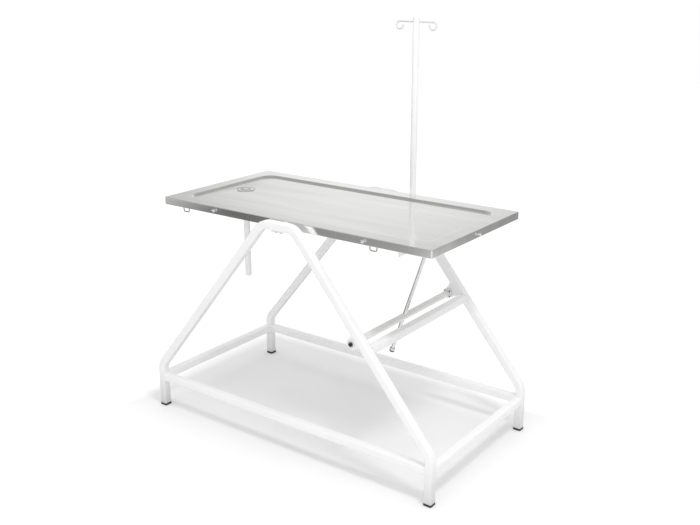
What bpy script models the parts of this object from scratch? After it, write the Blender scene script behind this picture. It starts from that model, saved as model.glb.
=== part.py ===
"""Tilting surgery table for small animals: a drained stainless top on two bent A-frames.

Metres, +Z up, +X along the top towards the tilt rod. The origin is on the floor under the middle of the
whole table, drip pole and clamp included; sizes across the table are measured from the middle of the top.
"""

from math import atan2, cos, hypot, pi, radians, sin, tan

import bmesh
import bpy
from mathutils import Matrix, Vector

# Stainless top
TOP_LENGTH = 1.200
TOP_WIDTH = 0.600
TOP_HEIGHT = 0.875
SHEET = 0.002
SKIRT = 0.028
SKIRT_LIP = 0.012
SKIRT_CORNER = 0.005
SKIRT_FOLD = 0.003
END_RIM = 0.058
SIDE_RIM = 0.062
RECESS_CORNER = 0.050
RECESS_STEP = 0.007
RECESS_DRAFT = 0.007
FLOOR_FALL = 0.003

# Drain, measured in from the drained end of the recess
DRAIN_INSET = 0.087
DRAIN_SEAT = 0.078
DRAIN_BORE = 0.044
DRAIN_FLANGE = 0.068
DRAIN_TAIL = 0.034
DRAIN_WALL = 0.0025
PIPE_DIAMETER = 0.025
PIPE_WALL = 0.002
PIPE_END_HEIGHT = 0.506
STRAINER_HOLES = 8
STRAINER_HOLE = 0.005

# A-frames and rails, all of one square tube
BASE_LENGTH = 1.300
TUBE = 0.030
TUBE_WALL = 0.002
TUBE_CORNER = 0.004
SIDE_GAP = 0.015
APEX_LENGTH = 0.140
KNEE_HEIGHT = 0.178
BEND_RADIUS = 0.060
BEND_STEPS = 5
RAIL_HEIGHT = 0.127
CROSSBAR_HEIGHT = 0.4905
FOOT_HEIGHT = 0.008
FOOT_EDGE = 0.001
FOOT_STEM = 0.022

# Pivot of the top, through the middle of the apex tubes
PIVOT_DROP = 0.013
AXLE_DIAMETER = 0.012
AXLE_HEAD = 0.020
SPACER_DIAMETER = 0.020
BUSH_WALL = 0.002
BUSH_FLANGE = 0.022
SADDLE_LENGTH = 0.050
SADDLE_WIDTH = 0.024
PLATE = 0.004

# Under-frame of the top
UNDER_TUBE = 0.025
UNDER_WALL = 0.002
UNDER_CORNER = 0.003
BEAM_WIDTH = 0.025
BEAM_DEPTH = 0.022
BEAM_WALL = 0.003

# Tilt mechanism
TRUNNION_HEIGHT = 0.497
TRUNNION_SET_IN = 0.0635
TRUNNION_DIAMETER = 0.025
TRUNNION_WALL = 0.002
LUG_THICKNESS = 0.005
LUG_MARGIN = 0.009
LUG_SEAT = 0.060
COLLAR_DIAMETER = 0.037
COLLAR_LENGTH = 0.008
TUBE_END = 0.001
ROD_DIAMETER = 0.014
ROD_BELOW = 0.150
STOP_DIAMETER = 0.020
STOP_LENGTH = 0.018
PIN_X = 0.418
PIN_DROP = 0.054
PIN_DIAMETER = 0.010
PIN_HEAD = 0.015
PIN_PLAY = 0.0032
EYE_WALL = 0.007
EYE_WIDTH = 0.012
EYE_GAP = 0.0012
CLEVIS_REACH = 0.048
CLEVIS_PLATE = 0.004
CLEVIS_HEIGHT = 0.038
CLEVIS_RISE = 0.005
SCREW_DIAMETER = 0.010
KNOB_DIAMETER = 0.0155
KNOB_LENGTH = 0.006
INSERT_LENGTH = 0.012

# Tie-down studs and wire loops
STUD_SPACING = 0.674
STUD_HEAD = 0.014
STUD_NECK = 0.007
STUD_LENGTH = 0.0115
LOOP_LEFT_X = -0.4905
LOOP_RIGHT_X = 0.373
LOOP_WIDTH = 0.028
LOOP_DROP = 0.016
LOOP_WIRE = 0.004
LOOP_RADIUS = 0.007

# Drip pole on the rear A-frame
POLE_X = 0.107
POLE_DIAMETER = 0.025
POLE_WALL = 0.0015
POLE_TOP = 1.530
SOCKET_LENGTH = 0.150
SOCKET_WALL = 0.003
SOCKET_FLOOR = 0.004
SOCKET_RISE = 0.030
HOOK_HEIGHT = 1.520
HOOK_SPAN = 0.150
HOOK_WIRE = 0.006
HOOK_RADIUS = 0.014
HOOK_TURN = radians(285)
CAP_HEIGHT = 0.010
GRIP_DIAMETER = 0.030
GRIP_LENGTH = 0.016
GRIP_LOBES = 5
GRIP_SCREW = 0.008
BOSS_DIAMETER = 0.016
BOSS_LENGTH = 0.010

# Gap between pieces that touch, and steps round a turned piece
FIT = 0.0003
ROUND = 24
SMALL_ROUND = 16
STUD_ROUND = 12

# Places that follow from the sizes
BASE_WIDTH = TOP_WIDTH + 2 * (SIDE_GAP + TUBE)
FRAME_Y = BASE_WIDTH / 2 - TUBE / 2
LEG_X = BASE_LENGTH / 2 - TUBE / 2
PIVOT_HEIGHT = TOP_HEIGHT - PIVOT_DROP
SKIRT_BOTTOM = TOP_HEIGHT - SKIRT
SKIRT_MIDDLE = TOP_HEIGHT - SKIRT / 2
RECESS_LENGTH = TOP_LENGTH - 2 * END_RIM
RECESS_WIDTH = TOP_WIDTH - 2 * SIDE_RIM
FLOOR_Z = TOP_HEIGHT - RECESS_STEP
DRAIN_Z = FLOOR_Z - FLOOR_FALL
DRAIN_X = DRAIN_INSET - RECESS_LENGTH / 2
UNDER_TOP = TOP_HEIGHT - SHEET - FIT
UNDER_SET_IN = SHEET + SKIRT_LIP + FIT + UNDER_TUBE / 2
UNDER_X = TOP_LENGTH / 2 - UNDER_SET_IN
UNDER_Y = TOP_WIDTH / 2 - UNDER_SET_IN
UNDER_BOTTOM = UNDER_TOP - UNDER_TUBE
LEG_SLOPE = (LEG_X - APEX_LENGTH / 2) / (PIVOT_HEIGHT - KNEE_HEIGHT)
LEG_ANGLE = atan2(LEG_SLOPE, 1)


def leg_x(z):
    """Distance of a slanted leg's middle line from the table's middle at a height."""
    return LEG_X - (z - KNEE_HEIGHT) * LEG_SLOPE


TRUNNION_X = leg_x(TRUNNION_HEIGHT) - TRUNNION_SET_IN
TRUNNION_END = FRAME_Y - TUBE / 2 + LUG_THICKNESS + 2 * PLATE + TUBE_END
PIN_Z = TOP_HEIGHT - PIN_DROP
ROD_LEAN = atan2(PIN_X - TRUNNION_X, PIN_Z - TRUNNION_HEIGHT)
ROD_ABOVE = hypot(PIN_X - TRUNNION_X, PIN_Z - TRUNNION_HEIGHT)
BEAM_LEFT = PIN_X + CLEVIS_REACH
BEAM_TOP = UNDER_BOTTOM - FIT
SOCKET_RADIUS = POLE_DIAMETER / 2 + FIT + SOCKET_WALL
POLE_Y = BASE_WIDTH / 2 + FIT + SOCKET_RADIUS
SOCKET_TOP = PIVOT_HEIGHT - (POLE_X - APEX_LENGTH / 2) / LEG_SLOPE + SOCKET_RISE
SOCKET_BOTTOM = SOCKET_TOP - SOCKET_LENGTH
POLE_BOTTOM = SOCKET_BOTTOM + SOCKET_FLOOR + FIT
BOSS_FACE = SOCKET_RADIUS + BOSS_LENGTH
FRONT_REACH = BASE_WIDTH / 2 + FOOT_EDGE
REAR_REACH = POLE_Y + BOSS_FACE + FIT + GRIP_LENGTH

for old in list(bpy.data.objects):
    bpy.data.objects.remove(old, do_unlink=True)
parts = bpy.data.collections.new("surgery_table")
cutters = bpy.data.collections.new("surgery_table_cutters")
for group in (parts, cutters):
    bpy.context.scene.collection.children.link(group)


def finish(name, colour, roughness, metallic):
    """A plain material of one colour."""
    material = bpy.data.materials.new(name)
    material.use_nodes = True
    shader = material.node_tree.nodes["Principled BSDF"]
    shader.inputs["Base Color"].default_value = (*colour, 1)
    shader.inputs["Roughness"].default_value = roughness
    shader.inputs["Metallic"].default_value = metallic
    material.diffuse_color = (*colour, 1)
    return material


WHITE_PAINT = finish("white_powder_coat", (0.86, 0.86, 0.85), 0.35, 0.0)
STAINLESS = finish("stainless_sheet", (0.60, 0.58, 0.56), 0.28, 1.0)
CHROME = finish("chrome", (0.75, 0.75, 0.76), 0.08, 1.0)
STEEL = finish("zinc_plated_steel", (0.52, 0.53, 0.54), 0.38, 1.0)
BLACK = finish("black_plastic", (0.02, 0.02, 0.02), 0.50, 0.0)
PALE = finish("pale_plastic", (0.80, 0.80, 0.78), 0.40, 0.0)


def axis(name, at, turn=(0, 0, 0), on=None):
    """An empty on the axis of a joint, which carries the pieces that move there."""
    empty = bpy.data.objects.new(name, None)
    empty.empty_display_size = 0.05
    empty.location = at
    empty.rotation_euler = turn
    empty.parent = on
    parts.objects.link(empty)
    return empty


# The middle of the top on the floor, from which every place is measured
middle = axis("table_middle", (0, (FRONT_REACH - REAR_REACH) / 2, 0))


def put(name, mesh, material, at=(0, 0, 0), turn=(0, 0, 0), on=None):
    """A piece at its place, measured from the empty that carries it or else from the middle."""
    piece = bpy.data.objects.new(name, mesh)
    piece.location = at
    piece.rotation_euler = turn
    piece.parent = on or middle
    mesh.materials.append(material)
    parts.objects.link(piece)
    return piece


def mesh_of(bm, name):
    """Ends a bmesh as a mesh with its faces outward and its round sides smooth."""
    bmesh.ops.recalc_face_normals(bm, faces=bm.faces)
    mesh = bpy.data.meshes.new(name)
    bm.to_mesh(mesh)
    bm.free()
    mesh.shade_smooth()
    mesh.set_sharp_from_angle(angle=radians(35))
    return mesh


def rounded_outline(length, width, radius, steps, z=0.0):
    """Points round a rectangle with round corners, anticlockwise from its +X side."""
    points = []
    for quarter, (sx, sy) in enumerate(((1, 1), (-1, 1), (-1, -1), (1, -1))):
        centre = Vector((sx * (length / 2 - radius), sy * (width / 2 - radius), z))
        for step in range(steps + 1):
            angle = (quarter + step / steps) * pi / 2
            points.append(centre + radius * Vector((cos(angle), sin(angle), 0)))
    return points


def ring_of(bm, points):
    """A closed ring of edges through points."""
    verts = [bm.verts.new(p) for p in points]
    return [bm.edges.new((a, b)) for a, b in zip(verts, verts[1:] + verts[:1])]


def bent_tube(name, width, depth, corner, wall, moves):
    """An open-ended tube that starts up +Z, from runs (metres) and bends about +Y (radians)."""
    bm = bmesh.new()
    edges = ring_of(bm, rounded_outline(width, depth, corner, 2))
    place, heading = Vector(), 0.0
    for kind, amount in moves:
        ahead = Vector((sin(heading), 0, cos(heading)))
        if kind == "run":
            made = bmesh.ops.extrude_edge_only(bm, edges=edges)["geom"]
            verts = [g for g in made if isinstance(g, bmesh.types.BMVert)]
            bmesh.ops.translate(bm, vec=ahead * amount, verts=verts)
            edges = [e for e in made if isinstance(e, bmesh.types.BMEdge)
                     and all(v in verts for v in e.verts)]
            place = place + ahead * amount
        else:
            aside = Vector((cos(heading), 0, -sin(heading))) * (1 if amount > 0 else -1)
            centre = place + aside * BEND_RADIUS
            made = bmesh.ops.spin(bm, geom=edges, cent=centre, axis=(0, 1, 0), angle=amount,
                                  steps=BEND_STEPS)["geom_last"]
            edges = [e for e in made if isinstance(e, bmesh.types.BMEdge)]
            place = centre + Matrix.Rotation(amount, 3, "Y") @ (place - centre)
            heading += amount
    mesh = mesh_of(bm, name)
    return mesh, wall


def put_tube(name, drawn, material, at, turn=(0, 0, 0), on=None):
    """A bent tube as a piece, its wall laid inside the drawn surface."""
    mesh, wall = drawn
    piece = put(name, mesh, material, at, turn, on)
    shell = piece.modifiers.new("wall", "SOLIDIFY")
    shell.thickness = wall
    shell.offset = -1
    shell.use_even_offset = True
    return piece


def turned(name, profile, closed=False):
    """A piece turned about Z: a profile of (radius, height) that runs down its outer side."""
    mesh = bpy.data.meshes.new(name)
    last = len(profile) - 1
    edges = [(i, i + 1) for i in range(last)] + ([(last, 0)] if closed else [])
    mesh.from_pydata([(r, 0, z) for r, z in profile], edges, [])
    return mesh


def put_turned(name, mesh, material, at=(0, 0, 0), turn=(0, 0, 0), on=None, steps=ROUND):
    """A turned profile as a piece."""
    piece = put(name, mesh, material, at, turn, on)
    lathe = piece.modifiers.new("turn", "SCREW")
    lathe.axis = "Z"
    lathe.steps = lathe.render_steps = steps
    lathe.use_merge_vertices = True
    lathe.merge_threshold = 0.00001
    lathe.use_smooth_shade = False
    return piece


def pipe_profile(outer, inner, low, high):
    """Profile of a plain sleeve, from diameters and heights."""
    return [(outer / 2, high), (outer / 2, low), (inner / 2, low), (inner / 2, high)]


def block(name, size):
    """A box mesh about its middle."""
    bm = bmesh.new()
    bmesh.ops.create_cube(bm, size=1)
    bmesh.ops.scale(bm, vec=size, verts=bm.verts)
    return mesh_of(bm, name)


def plate(name, outline, thickness):
    """A flat plate about the XY plane from its outline."""
    bm = bmesh.new()
    face = bm.faces.new([bm.verts.new((x, y, -thickness / 2)) for x, y in outline])
    made = bmesh.ops.extrude_face_region(bm, geom=[face])["geom"]
    rise = [g for g in made if isinstance(g, bmesh.types.BMVert)]
    bmesh.ops.translate(bm, vec=(0, 0, thickness), verts=rise)
    return mesh_of(bm, name)


def wire(name, points, diameter):
    """Round wire along points, with closed ends."""
    curve = bpy.data.curves.new(name, "CURVE")
    curve.dimensions = "3D"
    curve.bevel_depth = diameter / 2
    curve.bevel_resolution = 2
    curve.use_fill_caps = True
    spline = curve.splines.new("POLY")
    spline.points.add(len(points) - 1)
    for knot, point in zip(spline.points, points):
        knot.co = (*point, 1)
    return curve


def cut(piece, mesh, at, turn=(0, 0, 0), operation="DIFFERENCE"):
    """Cuts a shape out of a piece, or joins it on, at a place measured from the middle."""
    tool = bpy.data.objects.new(f"{piece.name}_cutter_{len(piece.modifiers)}", mesh)
    tool.location = at
    tool.rotation_euler = turn
    tool.parent = middle
    tool.hide_render = True
    tool.display_type = "WIRE"
    cutters.objects.link(tool)
    boolean = piece.modifiers.new("cut", "BOOLEAN")
    boolean.operation = operation
    boolean.object = tool
    return tool


def rod_mesh(name, diameter, length, steps=ROUND):
    """A plain cylinder about its middle, along Z."""
    bm = bmesh.new()
    bmesh.ops.create_cone(bm, cap_ends=True, segments=steps, radius1=diameter / 2,
                          radius2=diameter / 2, depth=length)
    return mesh_of(bm, name)


# Turns that lay a piece drawn along Z along another direction
TO_FRONT = (pi / 2, 0, 0)
TO_REAR = (-pi / 2, 0, 0)
TO_RIGHT = (0, pi / 2, 0)
TO_LEFT = (0, -pi / 2, 0)
SIDES = (("front", -1, TO_FRONT), ("rear", 1, TO_REAR))

# Empties on the joint axes
tilt_axis = axis("tilt_axis", (0, 0, PIVOT_HEIGHT), on=middle)
trunnion_axis = axis("trunnion_axis", (TRUNNION_X, 0, TRUNNION_HEIGHT), on=middle)
rod_axis = axis("rod_axis", (TRUNNION_X, 0, TRUNNION_HEIGHT), (0, ROD_LEAN, 0), middle)
lock_axis = axis("lock_axis", (TRUNNION_X, 0, TRUNNION_HEIGHT), on=middle)
pole_axis = axis("pole_axis", (POLE_X, POLE_Y, 0), on=middle)
GRIP_Z = SOCKET_BOTTOM + SOCKET_LENGTH / 3
grip_axis = axis("grip_axis", (POLE_X, POLE_Y, GRIP_Z), on=middle)


def on_top(x, y, z):
    """A place measured from the middle, given from the pivot of the top."""
    return x, y, z - PIVOT_HEIGHT


# A-frames: one square tube each, bent at both knees and at both ends of the apex
KNEE_CUT = BEND_RADIUS * tan(LEG_ANGLE / 2)
APEX_CUT = BEND_RADIUS * tan((pi / 2 - LEG_ANGLE) / 2)
LEG_RUN = hypot(LEG_X - APEX_LENGTH / 2, PIVOT_HEIGHT - KNEE_HEIGHT) - KNEE_CUT - APEX_CUT
FOOT_RUN = KNEE_HEIGHT - KNEE_CUT - FOOT_HEIGHT - FIT
A_FRAME = [
    ("run", FOOT_RUN), ("bend", LEG_ANGLE), ("run", LEG_RUN), ("bend", pi / 2 - LEG_ANGLE),
    ("run", APEX_LENGTH - 2 * APEX_CUT), ("bend", pi / 2 - LEG_ANGLE), ("run", LEG_RUN),
    ("bend", LEG_ANGLE), ("run", FOOT_RUN),
]
for side, sign, outward in SIDES:
    name = f"a_frame_{side}"
    drawn = bent_tube(name, TUBE, TUBE, TUBE_CORNER, TUBE_WALL, A_FRAME)
    frame = put_tube(name, drawn, WHITE_PAINT, (-LEG_X, sign * FRAME_Y, FOOT_HEIGHT + FIT))
    bore = rod_mesh(f"{name}_bore", AXLE_DIAMETER + 2 * FIT, TUBE)
    cut(frame, bore, (0, sign * (FRAME_Y - TUBE / 2), PIVOT_HEIGHT), outward)

# Rails between the legs and the crossbar between the right legs
LONG_RAIL = 2 * (LEG_X - TUBE / 2 - FIT)
SHORT_RAIL = 2 * (FRAME_Y - TUBE / 2 - FIT)


def straight(name, length, width=TUBE, depth=TUBE, corner=TUBE_CORNER, wall=TUBE_WALL):
    return bent_tube(name, width, depth, corner, wall, [("run", length)])


for side, sign, _ in SIDES:
    put_tube(f"rail_{side}", straight(f"rail_{side}", LONG_RAIL), WHITE_PAINT,
             (-LONG_RAIL / 2, sign * FRAME_Y, RAIL_HEIGHT), TO_RIGHT)
for side, sign in (("left", -1), ("right", 1)):
    put_tube(f"rail_{side}", straight(f"rail_{side}", SHORT_RAIL), WHITE_PAINT,
             (sign * LEG_X, -SHORT_RAIL / 2, RAIL_HEIGHT), TO_REAR)
put_tube("crossbar_right", straight("crossbar_right", SHORT_RAIL), WHITE_PAINT,
         (leg_x(CROSSBAR_HEIGHT), -SHORT_RAIL / 2, CROSSBAR_HEIGHT), TO_REAR)

# Feet: plastic plugs with a square stem inside the leg and a chamfered pad below it
STEM = TUBE - 2 * TUBE_WALL - 2 * FIT
PAD = TUBE + 2 * FOOT_EDGE
for end, sx in (("left", -1), ("right", 1)):
    for side, sy, _ in SIDES:
        name = f"foot_{side}_{end}"
        bm = bmesh.new()
        sections = ((PAD - 0.003, 0), (PAD, 0.0015), (PAD, FOOT_HEIGHT), (STEM, FOOT_HEIGHT),
                    (STEM, FOOT_HEIGHT + FOOT_STEM - 0.002), (STEM - 0.003, FOOT_HEIGHT + FOOT_STEM))
        first = rounded_outline(PAD - 0.003, PAD - 0.003, TUBE_CORNER - TUBE_WALL, 2)
        cap = [bm.faces.new([bm.verts.new(point) for point in first])]
        for (width, low), (wider, high) in zip(sections, sections[1:]):
            made = bmesh.ops.extrude_face_region(bm, geom=cap)["geom"]
            if low > 0:
                bmesh.ops.delete(bm, geom=cap, context="FACES_ONLY")
            cap = [part for part in made if isinstance(part, bmesh.types.BMFace)]
            verts = list(cap[0].verts)
            bmesh.ops.translate(bm, vec=(0, 0, high - low), verts=verts)
            bmesh.ops.scale(bm, vec=(wider / width, wider / width, 1), verts=verts)
        put(name, mesh_of(bm, name), BLACK, (sx * LEG_X, sy * FRAME_Y, 0))

# Pivots: an axle held in each apex tube by its saddle plate, a spacer sleeve to the skirt, and a
# bush in the under-frame that turns on the axle
APEX_INNER = FRAME_Y - TUBE / 2
SKIRT_Y = TOP_WIDTH / 2
AXLE_TIP = FRAME_Y + TUBE / 2 - TUBE_WALL - 2 * FIT
UNDER_OUTER = UNDER_Y + UNDER_TUBE / 2
UNDER_INNER = UNDER_Y - UNDER_TUBE / 2
BUSH_DIAMETER = AXLE_DIAMETER + 2 * FIT + 2 * BUSH_WALL
HEAD_FACE = UNDER_INNER - 2 * FIT
for side, sign, outward in SIDES:
    head = turned(f"pivot_axle_{side}", [
        (0, AXLE_TIP), (AXLE_DIAMETER / 2 - 0.001, AXLE_TIP), (AXLE_DIAMETER / 2, AXLE_TIP - 0.001),
        (AXLE_DIAMETER / 2, HEAD_FACE), (AXLE_HEAD / 2, HEAD_FACE),
        (AXLE_HEAD / 2, HEAD_FACE - PLATE), (0, HEAD_FACE - PLATE)])
    put_turned(f"pivot_axle_{side}", head, STEEL, (0, 0, PIVOT_HEIGHT), outward, steps=SMALL_ROUND)
    sleeve = turned(f"pivot_spacer_{side}", pipe_profile(
        SPACER_DIAMETER, AXLE_DIAMETER + 2 * FIT, SKIRT_Y + FIT, APEX_INNER - FIT), closed=True)
    put_turned(f"pivot_spacer_{side}", sleeve, PALE, (0, 0, PIVOT_HEIGHT), outward, steps=SMALL_ROUND)
    put(f"saddle_plate_{side}", block(f"saddle_plate_{side}", (SADDLE_LENGTH, SADDLE_WIDTH, PLATE)),
        STEEL, (0, sign * FRAME_Y, PIVOT_HEIGHT - TUBE / 2 - FIT - PLATE / 2))
    bore = AXLE_DIAMETER / 2 + FIT
    bush = turned(f"pivot_bush_{side}", [
        (BUSH_FLANGE / 2, UNDER_OUTER + FIT + BUSH_WALL), (BUSH_FLANGE / 2, UNDER_OUTER + FIT),
        (BUSH_DIAMETER / 2, UNDER_OUTER + FIT), (BUSH_DIAMETER / 2, UNDER_INNER),
        (bore, UNDER_INNER), (bore, UNDER_OUTER + FIT + BUSH_WALL)], closed=True)
    put_turned(f"pivot_bush_{side}", bush, PALE, (0, 0, 0), outward, tilt_axis, SMALL_ROUND)

# Tray: one sheet, folded down at the skirt and in at its lip, pressed down to the recess and
# creased so that the floor falls from all round to the flat seat of the drain
STEPS = 6


def circle(diameter, z):
    """Points round the drain that stand opposite those of a rounded outline."""
    about = rounded_outline(diameter, diameter, diameter / 2, STEPS, z)
    return [point + Vector((DRAIN_X, 0, 0)) for point in about]


bm = bmesh.new()
lip = 2 * (SHEET + SKIRT_LIP)
fold = 2 * SKIRT_FOLD
draft = 2 * RECESS_DRAFT
sections = [
    rounded_outline(TOP_LENGTH - lip, TOP_WIDTH - lip, SKIRT_CORNER, STEPS, SKIRT_BOTTOM),
    rounded_outline(TOP_LENGTH, TOP_WIDTH, SKIRT_CORNER, STEPS, SKIRT_BOTTOM),
    rounded_outline(TOP_LENGTH, TOP_WIDTH, SKIRT_CORNER, STEPS, TOP_HEIGHT - SKIRT_FOLD),
    rounded_outline(TOP_LENGTH - fold * 0.293, TOP_WIDTH - fold * 0.293, SKIRT_CORNER, STEPS,
                    TOP_HEIGHT - SKIRT_FOLD * 0.293),
    rounded_outline(TOP_LENGTH - fold, TOP_WIDTH - fold, SKIRT_CORNER, STEPS, TOP_HEIGHT),
    rounded_outline(RECESS_LENGTH, RECESS_WIDTH, RECESS_CORNER, STEPS, TOP_HEIGHT),
    rounded_outline(RECESS_LENGTH - draft, RECESS_WIDTH - draft, RECESS_CORNER - RECESS_DRAFT,
                    STEPS, FLOOR_Z),
    circle(DRAIN_SEAT, DRAIN_Z),
    circle(DRAIN_BORE, DRAIN_Z),
]
rings = [ring_of(bm, points) for points in sections]
for outer, inner in zip(rings, rings[1:]):
    for a, b in zip(outer, inner):
        bm.faces.new((a.verts[0], a.verts[1], b.verts[1], b.verts[0]))
for vert in bm.verts:
    vert.co.z -= PIVOT_HEIGHT
tray = put_tube("tray", (mesh_of(bm, "tray"), SHEET), STAINLESS, (0, 0, 0), on=tilt_axis)
for side, sign, outward in SIDES:
    bore = rod_mesh(f"skirt_bore_{side}", AXLE_DIAMETER + 4 * FIT, 6 * SHEET)
    cut(tray, bore, (0, sign * (SKIRT_Y - SHEET / 2), PIVOT_HEIGHT), outward)

# Under-frame: a ring of four tubes below the rim, and the angle beam below it that takes the tilt rod
UNDER_LONG = 2 * (UNDER_X + UNDER_TUBE / 2 - SKIRT_CORNER)
UNDER_SHORT = 2 * (UNDER_INNER - FIT)
UNDER_Z = UNDER_BOTTOM + UNDER_TUBE / 2
for side, sign, outward in SIDES:
    name = f"under_rail_{side}"
    drawn = straight(name, UNDER_LONG, UNDER_TUBE, UNDER_TUBE, UNDER_CORNER, UNDER_WALL)
    rail = put_tube(name, drawn, WHITE_PAINT, on_top(-UNDER_LONG / 2, sign * UNDER_Y, UNDER_Z),
                    TO_RIGHT, tilt_axis)
    bore = rod_mesh(f"{name}_bore", BUSH_DIAMETER + 2 * FIT, 2 * UNDER_TUBE)
    cut(rail, bore, (0, sign * UNDER_Y, PIVOT_HEIGHT), outward)
for side, sign in (("left", -1), ("right", 1)):
    name = f"under_end_{side}"
    drawn = straight(name, UNDER_SHORT, UNDER_TUBE, UNDER_TUBE, UNDER_CORNER, UNDER_WALL)
    put_tube(name, drawn, WHITE_PAINT, on_top(sign * UNDER_X, -UNDER_SHORT / 2, UNDER_Z),
             TO_REAR, tilt_axis)
BEAM_LENGTH = 2 * UNDER_OUTER
angle_outline = [(0, 0), (BEAM_WIDTH, 0), (BEAM_WIDTH, BEAM_WALL), (BEAM_WALL, BEAM_WALL),
                 (BEAM_WALL, BEAM_DEPTH), (0, BEAM_DEPTH)]
put("rod_beam", plate("rod_beam", angle_outline, BEAM_LENGTH), WHITE_PAINT,
    on_top(BEAM_LEFT, 0, BEAM_TOP), TO_REAR, tilt_axis)

# Clevis: a bent U of plate on the beam, with the pin that the rod's eye hangs on
EAR_IN = EYE_WIDTH / 2 + EYE_GAP
EAR_OUT = EAR_IN + CLEVIS_PLATE
BEAM_FACE = CLEVIS_REACH - FIT
EYE_RADIUS = PIN_DIAMETER / 2 + PIN_PLAY + EYE_WALL
EAR_TIP = -PIN_DIAMETER / 2 - 0.006
WEB = BEAM_FACE - CLEVIS_PLATE
u_outline = [(EAR_TIP, -EAR_OUT), (BEAM_FACE, -EAR_OUT), (BEAM_FACE, EAR_OUT), (EAR_TIP, EAR_OUT),
             (EAR_TIP, EAR_IN), (WEB, EAR_IN), (WEB, -EAR_IN), (EAR_TIP, -EAR_IN)]
clevis = put("rod_clevis", plate("rod_clevis", u_outline, CLEVIS_HEIGHT), STEEL,
             on_top(PIN_X, 0, PIN_Z + CLEVIS_RISE), on=tilt_axis)
bore = rod_mesh("clevis_bore", PIN_DIAMETER + 2 * FIT, 3 * EAR_OUT)
cut(clevis, bore, (PIN_X, 0, PIN_Z), TO_FRONT)
PIN_END = EAR_OUT + 0.004
pin = turned("clevis_pin", [
    (0, PIN_END), (PIN_DIAMETER / 2 - 0.001, PIN_END), (PIN_DIAMETER / 2, PIN_END - 0.001),
    (PIN_DIAMETER / 2, -EAR_OUT - FIT), (PIN_HEAD / 2, -EAR_OUT - FIT), (PIN_HEAD / 2, -PIN_END),
    (0, -PIN_END)])
put_turned("clevis_pin", pin, STEEL, on_top(PIN_X, 0, PIN_Z), TO_REAR, tilt_axis, SMALL_ROUND)

# Drain: flanged tail through the sheet, strainer in its mouth, lock nut, reducer and pipe
TAIL_OUTER = DRAIN_BORE - 2 * FIT
TAIL_INNER = TAIL_OUTER - 2 * DRAIN_WALL
FLANGE_Z = DRAIN_Z + FIT
FLANGE_TOP = FLANGE_Z + DRAIN_WALL
TAIL_Z = DRAIN_Z - DRAIN_TAIL
MOUTH = TAIL_INNER + 0.008
flange = turned("drain_flange", [
    (MOUTH / 2, FLANGE_TOP), (DRAIN_FLANGE / 2 - 0.0015, FLANGE_TOP),
    (DRAIN_FLANGE / 2, FLANGE_Z + 0.001), (DRAIN_FLANGE / 2, FLANGE_Z), (TAIL_OUTER / 2, FLANGE_Z),
    (TAIL_OUTER / 2, TAIL_Z), (TAIL_INNER / 2, TAIL_Z), (TAIL_INNER / 2, FLANGE_Z - 0.004)], closed=True)
put_turned("drain_flange", flange, STAINLESS, on_top(DRAIN_X, 0, 0), on=tilt_axis)
STRAINER = TAIL_INNER - 2 * FIT
STRAINER_Z = FLANGE_Z - 0.005
dish = turned("drain_strainer", [
    (0, STRAINER_Z - 0.0015), (STRAINER / 2 - 0.004, STRAINER_Z - 0.0015),
    (STRAINER / 2, STRAINER_Z), (STRAINER / 2, STRAINER_Z - 0.002),
    (STRAINER / 2 - 0.004, STRAINER_Z - 0.0035), (0, STRAINER_Z - 0.0035)])
strainer = put_turned("drain_strainer", dish, CHROME, on_top(DRAIN_X, 0, 0), on=tilt_axis)
for step in range(STRAINER_HOLES):
    angle = 2 * pi * step / STRAINER_HOLES + pi / ROUND
    reach = STRAINER / 2 - 0.0095
    cut(strainer, rod_mesh(f"strainer_hole_{step}", STRAINER_HOLE, 0.02, 8),
        (DRAIN_X + reach * cos(angle), reach * sin(angle), STRAINER_Z))
NUT_TOP = DRAIN_Z - SHEET - FIT
NUT = 0.010
nut = turned("drain_nut", pipe_profile(DRAIN_BORE + 0.014, DRAIN_BORE, NUT_TOP - NUT, NUT_TOP),
             closed=True)
put_turned("drain_nut", nut, PALE, on_top(DRAIN_X, 0, 0), on=tilt_axis)
CUP = DRAIN_BORE + 0.006
CUP_TOP = NUT_TOP - NUT - FIT
CUP_FLOOR = TAIL_Z - FIT
NECK_Z = CUP_FLOOR - 0.022
PIPE_BORE = PIPE_DIAMETER - 2 * PIPE_WALL
SOCKET = PIPE_DIAMETER + 2 * FIT
reducer = turned("drain_reducer", [
    (CUP / 2, CUP_TOP), (CUP / 2, CUP_FLOOR), (SOCKET / 2 + 0.003, NECK_Z + 0.008),
    (SOCKET / 2 + 0.003, NECK_Z - 0.014), (SOCKET / 2, NECK_Z - 0.014), (SOCKET / 2, NECK_Z),
    (PIPE_BORE / 2, NECK_Z), (TAIL_INNER / 2, CUP_FLOOR), (DRAIN_BORE / 2, CUP_FLOOR),
    (DRAIN_BORE / 2, CUP_TOP)], closed=True)
put_turned("drain_reducer", reducer, PALE, on_top(DRAIN_X, 0, 0), on=tilt_axis)
pipe = turned("drain_pipe", pipe_profile(PIPE_DIAMETER, PIPE_BORE, PIPE_END_HEIGHT, NECK_Z - FIT),
              closed=True)
put_turned("drain_pipe", pipe, PALE, on_top(DRAIN_X, 0, 0), on=tilt_axis)


# Tie-down studs: necked buttons along the skirt, two on each side and one at each end
def stud_mesh(name):
    neck = STUD_LENGTH * 0.55
    return turned(name, [
        (0, STUD_LENGTH), (STUD_HEAD / 2 - 0.003, STUD_LENGTH),
        (STUD_HEAD / 2 - 0.0008, STUD_LENGTH - 0.0012), (STUD_HEAD / 2, STUD_LENGTH - 0.003),
        (STUD_HEAD / 2 - 0.001, neck), (STUD_NECK / 2, neck - 0.001), (STUD_NECK / 2, 0.002),
        (STUD_NECK / 2 + 0.002, 0), (0, 0)])


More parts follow.
